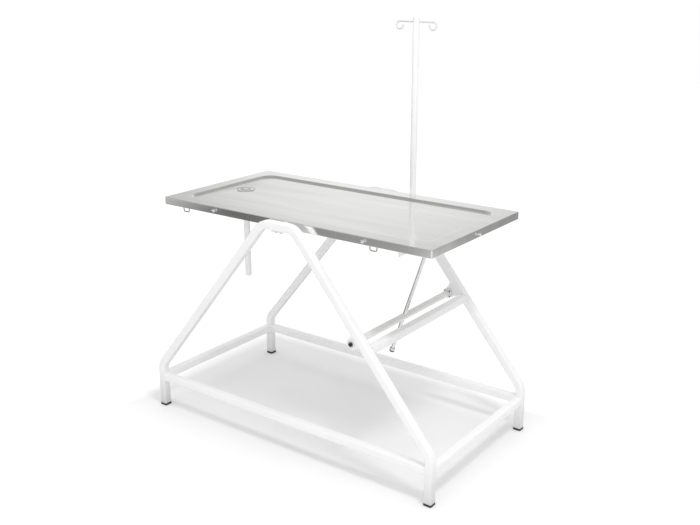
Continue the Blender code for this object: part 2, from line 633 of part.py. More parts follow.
for side, sign, outward in SIDES:
    for end, sx in (("left", -1), ("right", 1)):
        name = f"tie_stud_{side}_{end}"
        put_turned(name, stud_mesh(name), CHROME,
                   on_top(sx * STUD_SPACING / 2, sign * (SKIRT_Y + FIT), SKIRT_MIDDLE), outward,
                   tilt_axis, STUD_ROUND)
for end, sx, outward in (("left", -1, TO_LEFT), ("right", 1, TO_RIGHT)):
    name = f"tie_stud_{end}"
    put_turned(name, stud_mesh(name), CHROME, on_top(sx * (TOP_LENGTH / 2 + FIT), 0, SKIRT_MIDDLE),
               outward, tilt_axis, STUD_ROUND)

# Tie loops: a U of wire on the underside of the skirt's lip
LOOP_Y = SKIRT_Y - SHEET - SKIRT_LIP / 2
half = LOOP_WIDTH / 2
loop_points = [(-half, 0, -FIT)]
for start, sx in ((pi, -1), (1.5 * pi, 1)):
    for step in range(5):
        angle = start + step * pi / 8
        loop_points.append((sx * (half - LOOP_RADIUS) + LOOP_RADIUS * cos(angle), 0,
                            LOOP_RADIUS - LOOP_DROP + LOOP_RADIUS * sin(angle)))
loop_points.append((half, 0, -FIT))
for side, sign, _ in SIDES:
    for end, x in (("left", LOOP_LEFT_X), ("right", LOOP_RIGHT_X)):
        name = f"tie_loop_{side}_{end}"
        put(name, wire(name, loop_points, LOOP_WIRE), CHROME, on_top(x, sign * LOOP_Y, SKIRT_BOTTOM),
            on=tilt_axis)

# Lugs: plates under the right legs, round about the trunnion and straight along the leg
LUG_RADIUS = TRUNNION_DIAMETER / 2 + LUG_MARGIN
LEG_DOWN = Vector((sin(LEG_ANGLE), -cos(LEG_ANGLE)))
LEG_IN = Vector((-cos(LEG_ANGLE), -sin(LEG_ANGLE)))
SEAT_REACH = TRUNNION_SET_IN * cos(LEG_ANGLE) - TUBE / 2 - FIT
seat = [-LEG_IN * SEAT_REACH + LEG_DOWN * along * LUG_SEAT / 2 for along in (-1, 1)]
start = atan2(LEG_IN.y, LEG_IN.x)
open_angle = pi / 2 + 0.35
lug_outline = [tuple(p) for p in seat] + [
    (LUG_RADIUS * cos(start + t), LUG_RADIUS * sin(start + t))
    for t in (open_angle * (1 - step / 8) for step in range(17))]
LUG_Y = FRAME_Y - TUBE / 2 + LUG_THICKNESS / 2 + PLATE
for side, sign, outward in SIDES:
    name = f"trunnion_lug_{side}"
    lug = put(name, plate(name, lug_outline, LUG_THICKNESS), WHITE_PAINT,
              (TRUNNION_X, sign * LUG_Y, TRUNNION_HEIGHT), (pi / 2, 0, 0))
    cut(lug, rod_mesh(f"{name}_bore", TRUNNION_DIAMETER + 2 * FIT, TUBE), tuple(lug.location), outward)

# Trunnion: a round tube across the frame that turns in the lugs and guides the rod
TRUNNION_BORE = TRUNNION_DIAMETER - 2 * TRUNNION_WALL
tube = turned("trunnion_tube", pipe_profile(
    TRUNNION_DIAMETER, TRUNNION_BORE, -TRUNNION_END, TRUNNION_END), closed=True)
tube = put_turned("trunnion_tube", tube, STEEL, turn=TO_FRONT, on=trunnion_axis)
cut(tube, rod_mesh("trunnion_rod_bore", ROD_DIAMETER + 2 * FIT, 3 * TRUNNION_DIAMETER),
    (TRUNNION_X, 0, TRUNNION_HEIGHT), (0, ROD_LEAN, 0))
COLLAR_FACE = LUG_Y - LUG_THICKNESS / 2 - FIT
for side, sign, outward in SIDES:
    collar = turned(f"trunnion_collar_{side}", pipe_profile(
        COLLAR_DIAMETER, TRUNNION_DIAMETER + 2 * FIT, COLLAR_FACE - COLLAR_LENGTH, COLLAR_FACE),
        closed=True)
    put_turned(f"trunnion_collar_{side}", collar, STEEL, turn=outward, on=trunnion_axis, steps=SMALL_ROUND)
insert = turned("lock_insert", pipe_profile(
    TRUNNION_BORE - 2 * FIT, SCREW_DIAMETER + 2 * FIT, TRUNNION_END - INSERT_LENGTH,
    TRUNNION_END - 0.001), closed=True)
put_turned("lock_insert", insert, STEEL, turn=TO_FRONT, on=trunnion_axis, steps=SMALL_ROUND)
PLUG = TRUNNION_BORE - 2 * FIT
plug = turned("trunnion_plug", [
    (0, TRUNNION_END + 0.003), (TRUNNION_DIAMETER / 2 - 0.001, TRUNNION_END + 0.003),
    (TRUNNION_DIAMETER / 2, TRUNNION_END + 0.002), (TRUNNION_DIAMETER / 2, TRUNNION_END + FIT),
    (PLUG / 2, TRUNNION_END + FIT), (PLUG / 2 - 0.001, TRUNNION_END - INSERT_LENGTH),
    (0, TRUNNION_END - INSERT_LENGTH)])
put_turned("trunnion_plug", plug, BLACK, turn=TO_REAR, on=trunnion_axis, steps=SMALL_ROUND)

# Lock screw: a spindle inside the trunnion tube that clamps the rod, with its knob at the front
SPINDLE_TIP = ROD_DIAMETER / 2 + 2 * FIT
KNOB_FACE = TRUNNION_END + FIT
spindle = turned("lock_spindle", [
    (0, KNOB_FACE - FIT), (SCREW_DIAMETER / 2, KNOB_FACE - FIT),
    (SCREW_DIAMETER / 2, SPINDLE_TIP + 0.002), (SCREW_DIAMETER / 2 - 0.002, SPINDLE_TIP),
    (0, SPINDLE_TIP)])
put_turned("lock_spindle", spindle, STEEL, turn=TO_FRONT, on=lock_axis, steps=SMALL_ROUND)
knob = turned("lock_knob", [
    (0, KNOB_FACE + KNOB_LENGTH), (KNOB_DIAMETER / 2 - 0.002, KNOB_FACE + KNOB_LENGTH),
    (KNOB_DIAMETER / 2, KNOB_FACE + KNOB_LENGTH - 0.002), (KNOB_DIAMETER / 2, KNOB_FACE),
    (0, KNOB_FACE)])
put_turned("lock_knob", knob, BLACK, turn=TO_FRONT, on=lock_axis)

# Tilt rod: drawn along its own axis from the trunnion, with a slack eye on top and a stop below
SHANK = ROD_DIAMETER + 0.006
SHANK_TOP = ROD_ABOVE - EYE_RADIUS - 0.004
SHANK_LOW = SHANK_TOP - 0.022
BORE_END = SHANK_TOP - 0.004
rod = turned("tilt_rod", [
    (0, BORE_END - FIT), (ROD_DIAMETER / 2, BORE_END - FIT), (ROD_DIAMETER / 2, -ROD_BELOW),
    (0, -ROD_BELOW)])
put_turned("tilt_rod", rod, CHROME, on=rod_axis)
eye = put_turned("rod_eye", turned("rod_eye", [
    (0, EYE_WIDTH / 2), (EYE_RADIUS - 0.001, EYE_WIDTH / 2), (EYE_RADIUS, EYE_WIDTH / 2 - 0.001),
    (EYE_RADIUS, 0.001 - EYE_WIDTH / 2), (EYE_RADIUS - 0.001, -EYE_WIDTH / 2), (0, -EYE_WIDTH / 2)]),
    STEEL, (0, 0, ROD_ABOVE), TO_FRONT, rod_axis)
lean = Vector((sin(ROD_LEAN), 0, cos(ROD_LEAN)))
trunnion_point = Vector((TRUNNION_X, 0, TRUNNION_HEIGHT))
NECK_TOP = ROD_ABOVE - PIN_DIAMETER / 2 - PIN_PLAY - EYE_WALL / 2
NECK_LOW = SHANK_TOP - 0.003
cut(eye, rod_mesh("eye_neck", EYE_WIDTH - 2 * FIT, NECK_TOP - NECK_LOW),
    trunnion_point + lean * (NECK_TOP + NECK_LOW) / 2, (0, ROD_LEAN, 0), "UNION")
cut(eye, rod_mesh("eye_shank", SHANK, SHANK_TOP - SHANK_LOW),
    trunnion_point + lean * (SHANK_TOP + SHANK_LOW) / 2, (0, ROD_LEAN, 0), "UNION")
cut(eye, rod_mesh("eye_bore", PIN_DIAMETER + 2 * PIN_PLAY, 3 * EYE_WIDTH), (PIN_X, 0, PIN_Z), TO_FRONT)
cut(eye, rod_mesh("eye_socket", ROD_DIAMETER + 2 * FIT, 0.08),
    trunnion_point + lean * (BORE_END - 0.04), (0, ROD_LEAN, 0))
STOP_TOP = 0.008 - ROD_BELOW
STOP_BORE = ROD_DIAMETER / 2 + FIT
stop = turned("rod_stop", [
    (STOP_DIAMETER / 2, STOP_TOP), (STOP_DIAMETER / 2, STOP_TOP - STOP_LENGTH * 0.7),
    (STOP_DIAMETER / 2 - 0.003, STOP_TOP - STOP_LENGTH * 0.92), (0, STOP_TOP - STOP_LENGTH),
    (0, -ROD_BELOW - FIT), (STOP_BORE, -ROD_BELOW - FIT), (STOP_BORE, STOP_TOP)], closed=True)
put_turned("rod_stop", stop, CHROME, on=rod_axis)

# Pole socket: a cup welded behind the rear A-frame, with a boss for the clamp screw
SOCKET_BORE = POLE_DIAMETER + 2 * FIT
cup = turned("pole_socket", [
    (SOCKET_RADIUS, SOCKET_TOP), (SOCKET_RADIUS, SOCKET_BOTTOM), (0.004, SOCKET_BOTTOM),
    (0.004, SOCKET_BOTTOM + SOCKET_FLOOR), (SOCKET_BORE / 2, SOCKET_BOTTOM + SOCKET_FLOOR),
    (SOCKET_BORE / 2, SOCKET_TOP)], closed=True)
cup = put_turned("pole_socket", cup, WHITE_PAINT, (POLE_X, POLE_Y, 0))
BOSS_ROOT = SOCKET_BORE / 2 + SOCKET_WALL / 3
cut(cup, rod_mesh("socket_boss", BOSS_DIAMETER, BOSS_FACE - BOSS_ROOT),
    (POLE_X, POLE_Y + (BOSS_FACE + BOSS_ROOT) / 2, GRIP_Z), TO_REAR, "UNION")
cut(cup, rod_mesh("socket_boss_bore", GRIP_SCREW + 2 * FIT, BOSS_FACE),
    (POLE_X, POLE_Y + BOSS_FACE / 2 + 0.002, GRIP_Z), TO_REAR)

# Drip pole: tube that stands in the socket, cap, and one wire through it curled into two hooks
tube = turned("iv_pole", pipe_profile(
    POLE_DIAMETER, POLE_DIAMETER - 2 * POLE_WALL, POLE_BOTTOM, POLE_TOP), closed=True)
tube = put_turned("iv_pole", tube, WHITE_PAINT, on=pole_axis)
bore = rod_mesh("pole_wire_bore", HOOK_WIRE + 2 * FIT, 2 * POLE_DIAMETER, 12)
cut(tube, bore, (POLE_X, POLE_Y, HOOK_HEIGHT), TO_RIGHT)
CAP = POLE_DIAMETER / 2
cap = turned("iv_cap", [
    (0, POLE_TOP + CAP_HEIGHT), (CAP * 0.55, POLE_TOP + CAP_HEIGHT * 0.9),
    (CAP * 0.9, POLE_TOP + CAP_HEIGHT * 0.6), (CAP, POLE_TOP + CAP_HEIGHT * 0.3),
    (CAP, POLE_TOP + FIT), (CAP - POLE_WALL - FIT, POLE_TOP + FIT),
    (CAP - POLE_WALL - FIT, POLE_TOP - 0.005), (0, POLE_TOP - 0.005)])
put_turned("iv_cap", cap, PALE, on=pole_axis)
curl = []
for step in range(13):
    angle = pi / 2 - HOOK_TURN * step / 12
    curl.append((HOOK_SPAN / 2 + HOOK_RADIUS * cos(angle), -0.004 * step / 12,
                 HOOK_HEIGHT - HOOK_RADIUS + HOOK_RADIUS * sin(angle)))
hook_points = [(-x, -y, z) for x, y, z in reversed(curl)] + curl
put("iv_hooks", wire("iv_hooks", hook_points, HOOK_WIRE), CHROME, on=pole_axis)

# Clamp grip: a lobed knob with its screw through the boss against the pole
lobes = []
for step in range(8 * GRIP_LOBES):
    angle = 2 * pi * step / (8 * GRIP_LOBES)
    reach = GRIP_DIAMETER / 2 * (0.90 + 0.10 * cos(GRIP_LOBES * angle))
    lobes.append((reach * cos(angle), reach * sin(angle)))
grip = put("pole_grip", plate("pole_grip", lobes, GRIP_LENGTH), BLACK,
           (0, BOSS_FACE + FIT + GRIP_LENGTH / 2, 0), TO_REAR, grip_axis)
SCREW_TIP = POLE_DIAMETER / 2 + 2 * FIT
cut(grip, rod_mesh("grip_screw", GRIP_SCREW, BOSS_FACE + GRIP_LENGTH / 2 - SCREW_TIP, 16),
    (POLE_X, POLE_Y + (SCREW_TIP + BOSS_FACE + GRIP_LENGTH / 2) / 2, GRIP_Z), TO_REAR, "UNION")
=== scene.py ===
from math import atan2, cos, hypot, pi, radians, sin, tan

import bmesh
import bpy
from mathutils import Matrix, Vector


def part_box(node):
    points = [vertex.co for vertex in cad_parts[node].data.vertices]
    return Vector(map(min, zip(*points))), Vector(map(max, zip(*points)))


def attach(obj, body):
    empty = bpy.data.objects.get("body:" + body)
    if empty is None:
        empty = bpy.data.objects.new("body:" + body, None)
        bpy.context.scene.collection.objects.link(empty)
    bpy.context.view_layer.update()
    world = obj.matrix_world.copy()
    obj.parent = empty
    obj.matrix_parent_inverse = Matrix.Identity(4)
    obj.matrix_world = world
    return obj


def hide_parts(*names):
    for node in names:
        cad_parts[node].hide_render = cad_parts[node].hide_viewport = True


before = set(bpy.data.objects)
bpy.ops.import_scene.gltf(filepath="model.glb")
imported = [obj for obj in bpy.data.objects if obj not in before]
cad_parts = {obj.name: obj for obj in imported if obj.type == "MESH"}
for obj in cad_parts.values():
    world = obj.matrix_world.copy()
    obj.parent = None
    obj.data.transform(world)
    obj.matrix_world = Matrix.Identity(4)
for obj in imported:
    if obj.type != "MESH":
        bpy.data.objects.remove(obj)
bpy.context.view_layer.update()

# Bent A-frames
# Each side of the base is one 30 mm square steel tube, cold-bent at both knees and at both ends of
# its apex and powder-coated white. The rails and the crossbar are welded to the two of them.
frame_tube, tube_wall, tube_round = 0.030, 0.002, 0.004
bend_radius, knee_height, pivot_height, apex_half = 0.060, 0.178, 0.862, 0.070


def add(tree, kind, inputs=(), **settings):
    """A node with its settings, and with inputs that are values or the sockets they come from."""
    node = tree.nodes.new(kind)
    for name, value in settings.items():
        setattr(node, name, value)
    for socket, value in dict(inputs).items():
        if isinstance(value, bpy.types.NodeSocket):
            tree.links.new(value, node.inputs[socket])
        else:
            node.inputs[socket].default_value = value
    return node


def ramp(tree, factor, *stops):
    """A colour that runs through stops of (place, colour) as a factor rises."""
    node = add(tree, "ShaderNodeValToRGB", {"Fac": factor})
    while len(node.color_ramp.elements) < len(stops):
        node.color_ramp.elements.new(1.0)
    for element, (place, colour) in zip(node.color_ramp.elements, stops):
        element.position = place
        element.color = (*colour, 1)
    return node.outputs["Color"]


def span(tree, factor, low, high, start=0.0, end=1.0):
    """A number that goes from low to high as a factor goes from start to end."""
    return add(tree, "ShaderNodeMapRange", {"Value": factor, "From Min": start, "From Max": end,
                                            "To Min": low, "To Max": high}).outputs["Result"]


def mixed(tree, factor, first, second, blend="MIX"):
    """Two colours mixed by a factor, or blended in another way."""
    return add(tree, "ShaderNodeMix", {0: factor, 6: first, 7: second}, data_type="RGBA",
               blend_type=blend).outputs[2]


def sums(tree, operation, *values):
    """A number worked out from others."""
    return add(tree, "ShaderNodeMath", enumerate(values), operation=operation).outputs[0]


def noise(tree, place, scale, detail, rough=0.5, twist=0.0):
    """Clouds over a place, from 0 to 1."""
    return add(tree, "ShaderNodeTexNoise", {"Vector": place, "Scale": scale, "Detail": detail,
                                            "Roughness": rough, "Distortion": twist}).outputs["Fac"]


def effect(name, takes, gives):
    """An empty node group, with the sockets that its nodes read and feed."""
    group = bpy.data.node_groups.new(name, "ShaderNodeTree")
    group.interface.new_socket(name="Vector", in_out="INPUT", socket_type="NodeSocketVector")
    for number in takes:
        group.interface.new_socket(name=number, in_out="INPUT", socket_type="NodeSocketFloat")
    for number in gives:
        group.interface.new_socket(name=number, in_out="OUTPUT", socket_type="NodeSocketFloat")
    return group, group.nodes.new("NodeGroupInput").outputs, group.nodes.new("NodeGroupOutput").inputs


def surface(name, constants):
    """A Principled material: its tree, its shader's inputs and its object coordinates."""
    material = bpy.data.materials.new(name)
    material.use_nodes = True
    tree = material.node_tree
    shader = tree.nodes["Principled BSDF"].inputs
    for socket, value in constants.items():
        shader[socket].default_value = value
    return material, tree, shader, add(tree, "ShaderNodeTexCoord").outputs["Object"]


def placed(tree, group, place, **values):
    """A shared effect set into a material, with its own values."""
    return add(tree, "ShaderNodeGroup", {"Vector": place, **values}, node_tree=group).outputs


def dress(tree, shader, colour, roughness, height, strength, depth):
    """Feeds a shader its colour, its roughness and a relief that follows a height."""
    relief = add(tree, "ShaderNodeBump", {"Height": height, "Strength": strength, "Distance": depth})
    tree.links.new(colour, shader["Base Color"])
    tree.links.new(roughness, shader["Roughness"])
    tree.links.new(relief.outputs["Normal"], shader["Normal"])


# Powder coat: the fine peel of the baked film and slow changes of tone along a tube
powder_skin, took, gave = effect("powder_skin", ["Peel"], ["Height", "Tone"])
powder_skin.links.new(noise(powder_skin, took["Vector"], took["Peel"], 2.0, 0.55), gave["Height"])
powder_skin.links.new(noise(powder_skin, took["Vector"], 5.0, 3.0, 0.6), gave["Tone"])

# Scuffs: broken patches that thin out with height above the floor
scuffs, took, gave = effect("scuffs", ["Reach", "Scale"], ["Mask"])
height = add(scuffs, "ShaderNodeSeparateXYZ", {"Vector": took["Vector"]}).outputs["Z"]
lowness = span(scuffs, height, 0.0, 1.0, took["Reach"], 0.0)
blots = span(scuffs, noise(scuffs, took["Vector"], took["Scale"], 6.0, 0.7), 0.0, 1.0, 0.52, 0.70)
scuffs.links.new(sums(scuffs, "MULTIPLY", blots, lowness), gave["Mask"])

white_coat, tree, shader, place = surface("white_powder_coat", {"IOR": 1.5})
skin = placed(tree, powder_skin, place, Peel=520.0)
worn = placed(tree, scuffs, place, Reach=0.16, Scale=70.0)["Mask"]
coat = ramp(tree, skin["Tone"], (0.35, (0.915, 0.916, 0.914)), (0.65, (0.940, 0.940, 0.937)))
coat = mixed(tree, span(tree, worn, 0.0, 0.15), coat, (0.62, 0.61, 0.59, 1))
dress(tree, shader, coat, span(tree, skin["Tone"], 0.30, 0.40, 0.3, 0.7), skin["Height"], 0.10, 0.0004)


def outline(width, depth, corner, rounds=4):
    """A bmesh of one flat face about the origin, with round corners."""
    bm = bmesh.new()
    bmesh.ops.create_grid(bm, x_segments=1, y_segments=1, size=0.5)
    bmesh.ops.scale(bm, vec=(width, depth, 1), verts=bm.verts)
    bmesh.ops.bevel(bm, geom=bm.verts[:], offset=corner, offset_type="OFFSET", segments=rounds,
                    profile=0.5, affect="VERTICES", material=-1)
    return bm


def bend(bm, moves, radius, steps):
    """Draws a face's outline along runs in metres and bends about +Y in radians, as a bender does."""
    edges = bm.edges[:]
    bmesh.ops.delete(bm, geom=bm.faces[:], context="FACES_ONLY")
    place, heading = Vector(), 0.0
    for kind, amount in moves:
        ahead = Vector((sin(heading), 0, cos(heading)))
        if kind == "run":
            made = bmesh.ops.extrude_edge_only(bm, edges=edges)["geom"]
            ends = {g for g in made if isinstance(g, bmesh.types.BMVert)}
            bmesh.ops.translate(bm, vec=ahead * amount, verts=list(ends))
            edges = [g for g in made if isinstance(g, bmesh.types.BMEdge) and set(g.verts) <= ends]
            place = place + ahead * amount
        else:
            aside = Vector((cos(heading), 0, -sin(heading))) * (1 if amount > 0 else -1)
            centre = place + aside * radius
            made = bmesh.ops.spin(bm, geom=edges, cent=centre, axis=(0, 1, 0), angle=amount,
                                  steps=steps)["geom_last"]
            edges = [g for g in made if isinstance(g, bmesh.types.BMEdge)]
            place = centre + Matrix.Rotation(amount, 3, "Y") @ (place - centre)
            heading += amount
    return bm


def lay(bm, at, along=(0, 0, 1)):
    """Turns a shape drawn along +Z to another direction and moves it to its place."""
    turn = Vector((0, 0, 1)).rotation_difference(Vector(along)).to_matrix().to_4x4()
    bmesh.ops.transform(bm, matrix=Matrix.Translation(at) @ turn, verts=bm.verts)
    return bm


def settle(bm, name, material, body, slot, *nodes, sharp=32):
    """Ends a shape as a piece of a body that stands for CAD nodes."""
    bmesh.ops.remove_doubles(bm, verts=bm.verts, dist=1e-6)
    bmesh.ops.recalc_face_normals(bm, faces=bm.faces)
    mesh = bpy.data.meshes.new(name)
    bm.to_mesh(mesh)
    bm.free()
    mesh.shade_smooth()
    mesh.set_sharp_from_angle(angle=radians(sharp))
    return claim(bpy.data.objects.new(name, mesh), material, body, slot, *nodes)


def claim(piece, material, body, slot, *nodes):
    """Gives a piece its material and its body, and hides the CAD nodes that it stands for."""
    piece.data.materials.append(material)
    bpy.context.scene.collection.objects.link(piece)
    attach(piece, body)
    if nodes:
        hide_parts(*nodes)
    return piece


leg_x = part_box("a_frame_front")[1].x - frame_tube / 2
leg_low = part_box("a_frame_front")[0].z
leg_angle = atan2(leg_x - apex_half, pivot_height - knee_height)
knee_cut = bend_radius * tan(leg_angle / 2)
apex_cut = bend_radius * tan((pi / 2 - leg_angle) / 2)
leg_run = hypot(leg_x - apex_half, pivot_height - knee_height) - knee_cut - apex_cut
foot_run = knee_height - knee_cut - leg_low
half_frame = [("run", foot_run), ("bend", leg_angle), ("run", leg_run), ("bend", pi / 2 - leg_angle)]
a_frame_bends = half_frame + [("run", 2 * (apex_half - apex_cut))] + half_frame[::-1]
side_y = {side: sum(corner.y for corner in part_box(f"a_frame_{side}")) / 2 for side in ("front", "rear")}
for side, y in side_y.items():
    tube = bend(outline(frame_tube, frame_tube, tube_round, 5), a_frame_bends, bend_radius, 24)
    tube = settle(lay(tube, (-leg_x, y, leg_low)), f"bent_frame_{side}", white_coat, "base",
                  "white_powder_coat", f"a_frame_{side}")
    wall = tube.modifiers.new("wall", "SOLIDIFY")
    wall.thickness, wall.offset, wall.use_even_offset = tube_wall, -1, True

# Rails and crossbar
# Straight lengths of the same tube, sawn square, set between the legs and welded all round: four low
# rails and the crossbar between the right-hand legs. They are coated together with the A-frames.
base_rails = {"rail_front": 0, "rail_rear": 0, "rail_left": 1, "rail_right": 1, "crossbar_right": 1}
weld_bead = 0.0016


def raised(bm, height):
    """Extrudes a flat shape up into a solid of a height."""
    made = bmesh.ops.extrude_face_region(bm, geom=bm.faces[:])["geom"]
    top = [g for g in made if isinstance(g, bmesh.types.BMVert)]
    bmesh.ops.translate(bm, vec=(0, 0, height), verts=top)
    return bm


def turn_to(bm, axis, at):
    """Lays a shape drawn along Z along axis 0, 1 or 2, its sides square to the others."""
    first, second = [i for i in range(3) if i != axis]
    turn = Matrix.Identity(4)
    for row in range(3):
        turn[row][0], turn[row][1], turn[row][2] = row == first, row == second, row == axis
    bmesh.ops.transform(bm, matrix=Matrix.Translation(at) @ turn, verts=bm.verts)
    return bm


def tube_in(low, high, axis, corner):
    """A closed length of square tube that fills a box along one of its axes."""
    size = high - low
    first, second = [i for i in range(3) if i != axis]
    bm = raised(outline(size[first], size[second], corner, 5), size[axis])
    at = (low + high) / 2
    at[axis] = low[axis]
    return turn_to(bm, axis, at)


def wire(name, radius, rounds):
    """A round wire, with no strand in it yet."""
    curve = bpy.data.curves.new(name, "CURVE")
    curve.dimensions, curve.bevel_depth, curve.bevel_resolution = "3D", radius, rounds
    curve.use_fill_caps = True
    return curve


def strand(curve, route, closed=False):
    """Lays a wire along points."""
    line = curve.splines.new("POLY")
    line.points.add(len(route) - 1)
    line.use_cyclic_u = closed
    for knot, point in zip(line.points, route):
        knot.co = (*point, 1)


beads = wire("weld_beads", weld_bead, 2)
for node, axis in base_rails.items():
    low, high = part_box(node)
    settle(tube_in(low, high, axis, tube_round), f"welded_{node}", white_coat, "base",
           "white_powder_coat", node)
    for end in (low[axis], high[axis]):
        at = (low + high) / 2
        at[axis] = end
        seam = turn_to(outline(frame_tube - weld_bead, frame_tube - weld_bead, tube_round), axis, at)
        strand(beads, [vert.co for vert in next(iter(seam.faces)).verts], closed=True)
        seam.free()
claim(bpy.data.objects.new("weld_beads", beads), white_coat, "base", "white_powder_coat")

# Feet
# Black moulded plugs: a square stem pushed up tight inside each leg, and a bevelled pad that stands
# on the floor.
pad_corner, pad_edge, pad_gap = 0.005, 0.0014, 0.0003
stem_width, stem_corner = 0.0254, 0.0025
moulding, took, gave = effect("moulding", ["Grain"], ["Height", "Tone"])
grain = add(moulding, "ShaderNodeTexVoronoi", {"Vector": took["Vector"], "Scale": took["Grain"]})
moulding.links.new(grain.outputs["Distance"], gave["Height"])
moulding.links.new(noise(moulding, took["Vector"], 60.0, 4.0), gave["Tone"])
black_plastic, tree, shader, place = surface("black_plastic", {"IOR": 1.5})
cast = placed(tree, moulding, place, Grain=1400.0)
worn = placed(tree, scuffs, place, Reach=0.05, Scale=160.0)["Mask"]
dark = ramp(tree, cast["Tone"], (0.3, (0.012, 0.012, 0.013)), (0.7, (0.024, 0.024, 0.025)))
dark = mixed(tree, span(tree, worn, 0.0, 0.5), dark, (0.10, 0.10, 0.095, 1))
dress(tree, shader, dark, span(tree, cast["Tone"], 0.38, 0.52, 0.3, 0.7), cast["Height"], 0.15, 0.0002)


def soften(bm, width, segments=2, where=lambda edge: True, sharp=0.6):
    """Rounds sharp edges, all of them or those that a test picks."""
    bmesh.ops.remove_doubles(bm, verts=bm.verts, dist=1e-6)
    bmesh.ops.recalc_face_normals(bm, faces=bm.faces)
    edges = [e for e in bm.edges if e.is_manifold and e.calc_face_angle() > sharp and where(e)]
    bmesh.ops.bevel(bm, geom=edges, offset=width, offset_type="OFFSET", segments=segments, profile=0.5,
                    affect="EDGES", clamp_overlap=True, material=-1)
    return bm


def gather(*shapes):
    """Several shapes as one."""
    whole = bmesh.new()
    for bm in shapes:
        part = bpy.data.meshes.new("part")
        bm.to_mesh(part)
        bm.free()
        whole.from_mesh(part)
        bpy.data.meshes.remove(part)
    return whole


for node in ("foot_front_left", "foot_front_right", "foot_rear_left", "foot_rear_right"):
    low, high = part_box(node)
    centre = (low + high) / 2
    pad = raised(outline(high.x - low.x, high.y - low.y, pad_corner), leg_low - pad_gap)
    stem = raised(outline(stem_width, stem_width, stem_corner), high.z - leg_low)
    foot = gather(lay(soften(pad, pad_edge, 3), (centre.x, centre.y, 0)),
                  lay(stem, (centre.x, centre.y, leg_low - pad_gap)))
    settle(foot, f"moulded_{node}", black_plastic, "base", "black_plastic", node)

# Pivots of the top
# An axle stands in each apex tube, clamped by a lacquered saddle plate with two hexagon bolts. A
# nylon sleeve spaces the apex from the skirt, and a flanged bush turns on the axle in the under-frame.
saddle_corner, bolt_across, bolt_height, bolt_x = 0.003, 0.008, 0.0035, 0.0125
axle_radius, axle_head, head_height = 0.006, 0.010, 0.004
spacer_outer, spacer_bore = 0.020, 0.0126
bush_radius, bush_bore, bush_flange, flange_height = 0.0083, 0.0063, 0.011, 0.002
zinc_bloom, took, gave = effect("zinc_bloom", ["Grain"], ["Cloud", "Height"])
zinc_bloom.links.new(noise(zinc_bloom, took["Vector"], 45.0, 5.0, 0.65), gave["Cloud"])
zinc_bloom.links.new(noise(zinc_bloom, took["Vector"], took["Grain"], 2.0), gave["Height"])


def plated(name, darker, lighter, smooth, dull, relief=0.06, metal=1.0):
    """Plated steel with a faint bloom, between two colours and two roughnesses."""
    material, tree, shader, place = surface(name, {"Metallic": metal})
    bloom = placed(tree, zinc_bloom, place, Grain=900.0)
    dress(tree, shader, ramp(tree, bloom["Cloud"], (0.35, darker), (0.65, lighter)),
          span(tree, bloom["Cloud"], dull, smooth, 0.3, 0.7), bloom["Height"], relief, 0.0002)
    return material


zinc = plated("zinc_plated_steel", (0.50, 0.50, 0.49), (0.62, 0.62, 0.60), 0.26, 0.40)
bright_zinc = plated("bright_zinc", (0.85, 0.85, 0.84), (0.90, 0.90, 0.89), 0.36, 0.46, metal=0.15)
black_steel = plated("black_oxide_steel", (0.020, 0.020, 0.022), (0.045, 0.044, 0.044), 0.34, 0.48)
pale_plastic, tree, shader, place = surface("pale_plastic", {"IOR": 1.49})
cast = placed(tree, moulding, place, Grain=1100.0)
pale = ramp(tree, cast["Tone"], (0.3, (0.91, 0.91, 0.90)), (0.7, (0.94, 0.94, 0.93)))
dress(tree, shader, pale, span(tree, cast["Tone"], 0.30, 0.42, 0.3, 0.7), cast["Height"], 0.08, 0.0002)


def turned(profile, steps=48):
    """A shape turned about Z from (radius, height) points; a ring's profile ends where it starts."""
    bm = bmesh.new()
    verts = [bm.verts.new((radius, 0, height)) for radius, height in profile]
    edges = [bm.edges.new(pair) for pair in zip(verts, verts[1:])]
    bmesh.ops.spin(bm, geom=verts + edges, cent=(0, 0, 0), axis=(0, 0, 1), angle=2 * pi, steps=steps,
                   use_merge=True)
    bmesh.ops.remove_doubles(bm, verts=bm.verts, dist=1e-6)
    return bm


def sleeve(outer, inner, low, high, edge=0.0004, steps=48):
    """A plain sleeve about Z, by diameters and heights, its edges rounded."""
    outer, inner = outer / 2, inner / 2
    profile = [(outer, low), (outer, high), (inner, high), (inner, low), (outer, low)]
    return soften(turned(profile, steps), edge)


def hexagon(across, height, at, along):
    """A hexagon bolt head with its washer, standing on a face."""
    radius, washer_radius, washer_height = across * 0.577, across * 0.68, 0.0012
    head = bmesh.new()
    bmesh.ops.create_cone(head, cap_ends=True, segments=6, radius1=radius, radius2=radius, depth=height)
    bmesh.ops.translate(head, vec=(0, 0, height / 2 + washer_height), verts=head.verts)
    washer = turned([(0, 0), (washer_radius, 0), (washer_radius, washer_height), (0, washer_height)], 32)
    return lay(gather(soften(head, 0.0006), soften(washer, 0.0003)), at, along)


def beside_top(node, side):
    """Where a piece of a pivot starts, at its end towards the top's middle, and how long it is."""
    low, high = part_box(node)
    return (low.y if side == "rear" else high.y), high.y - low.y


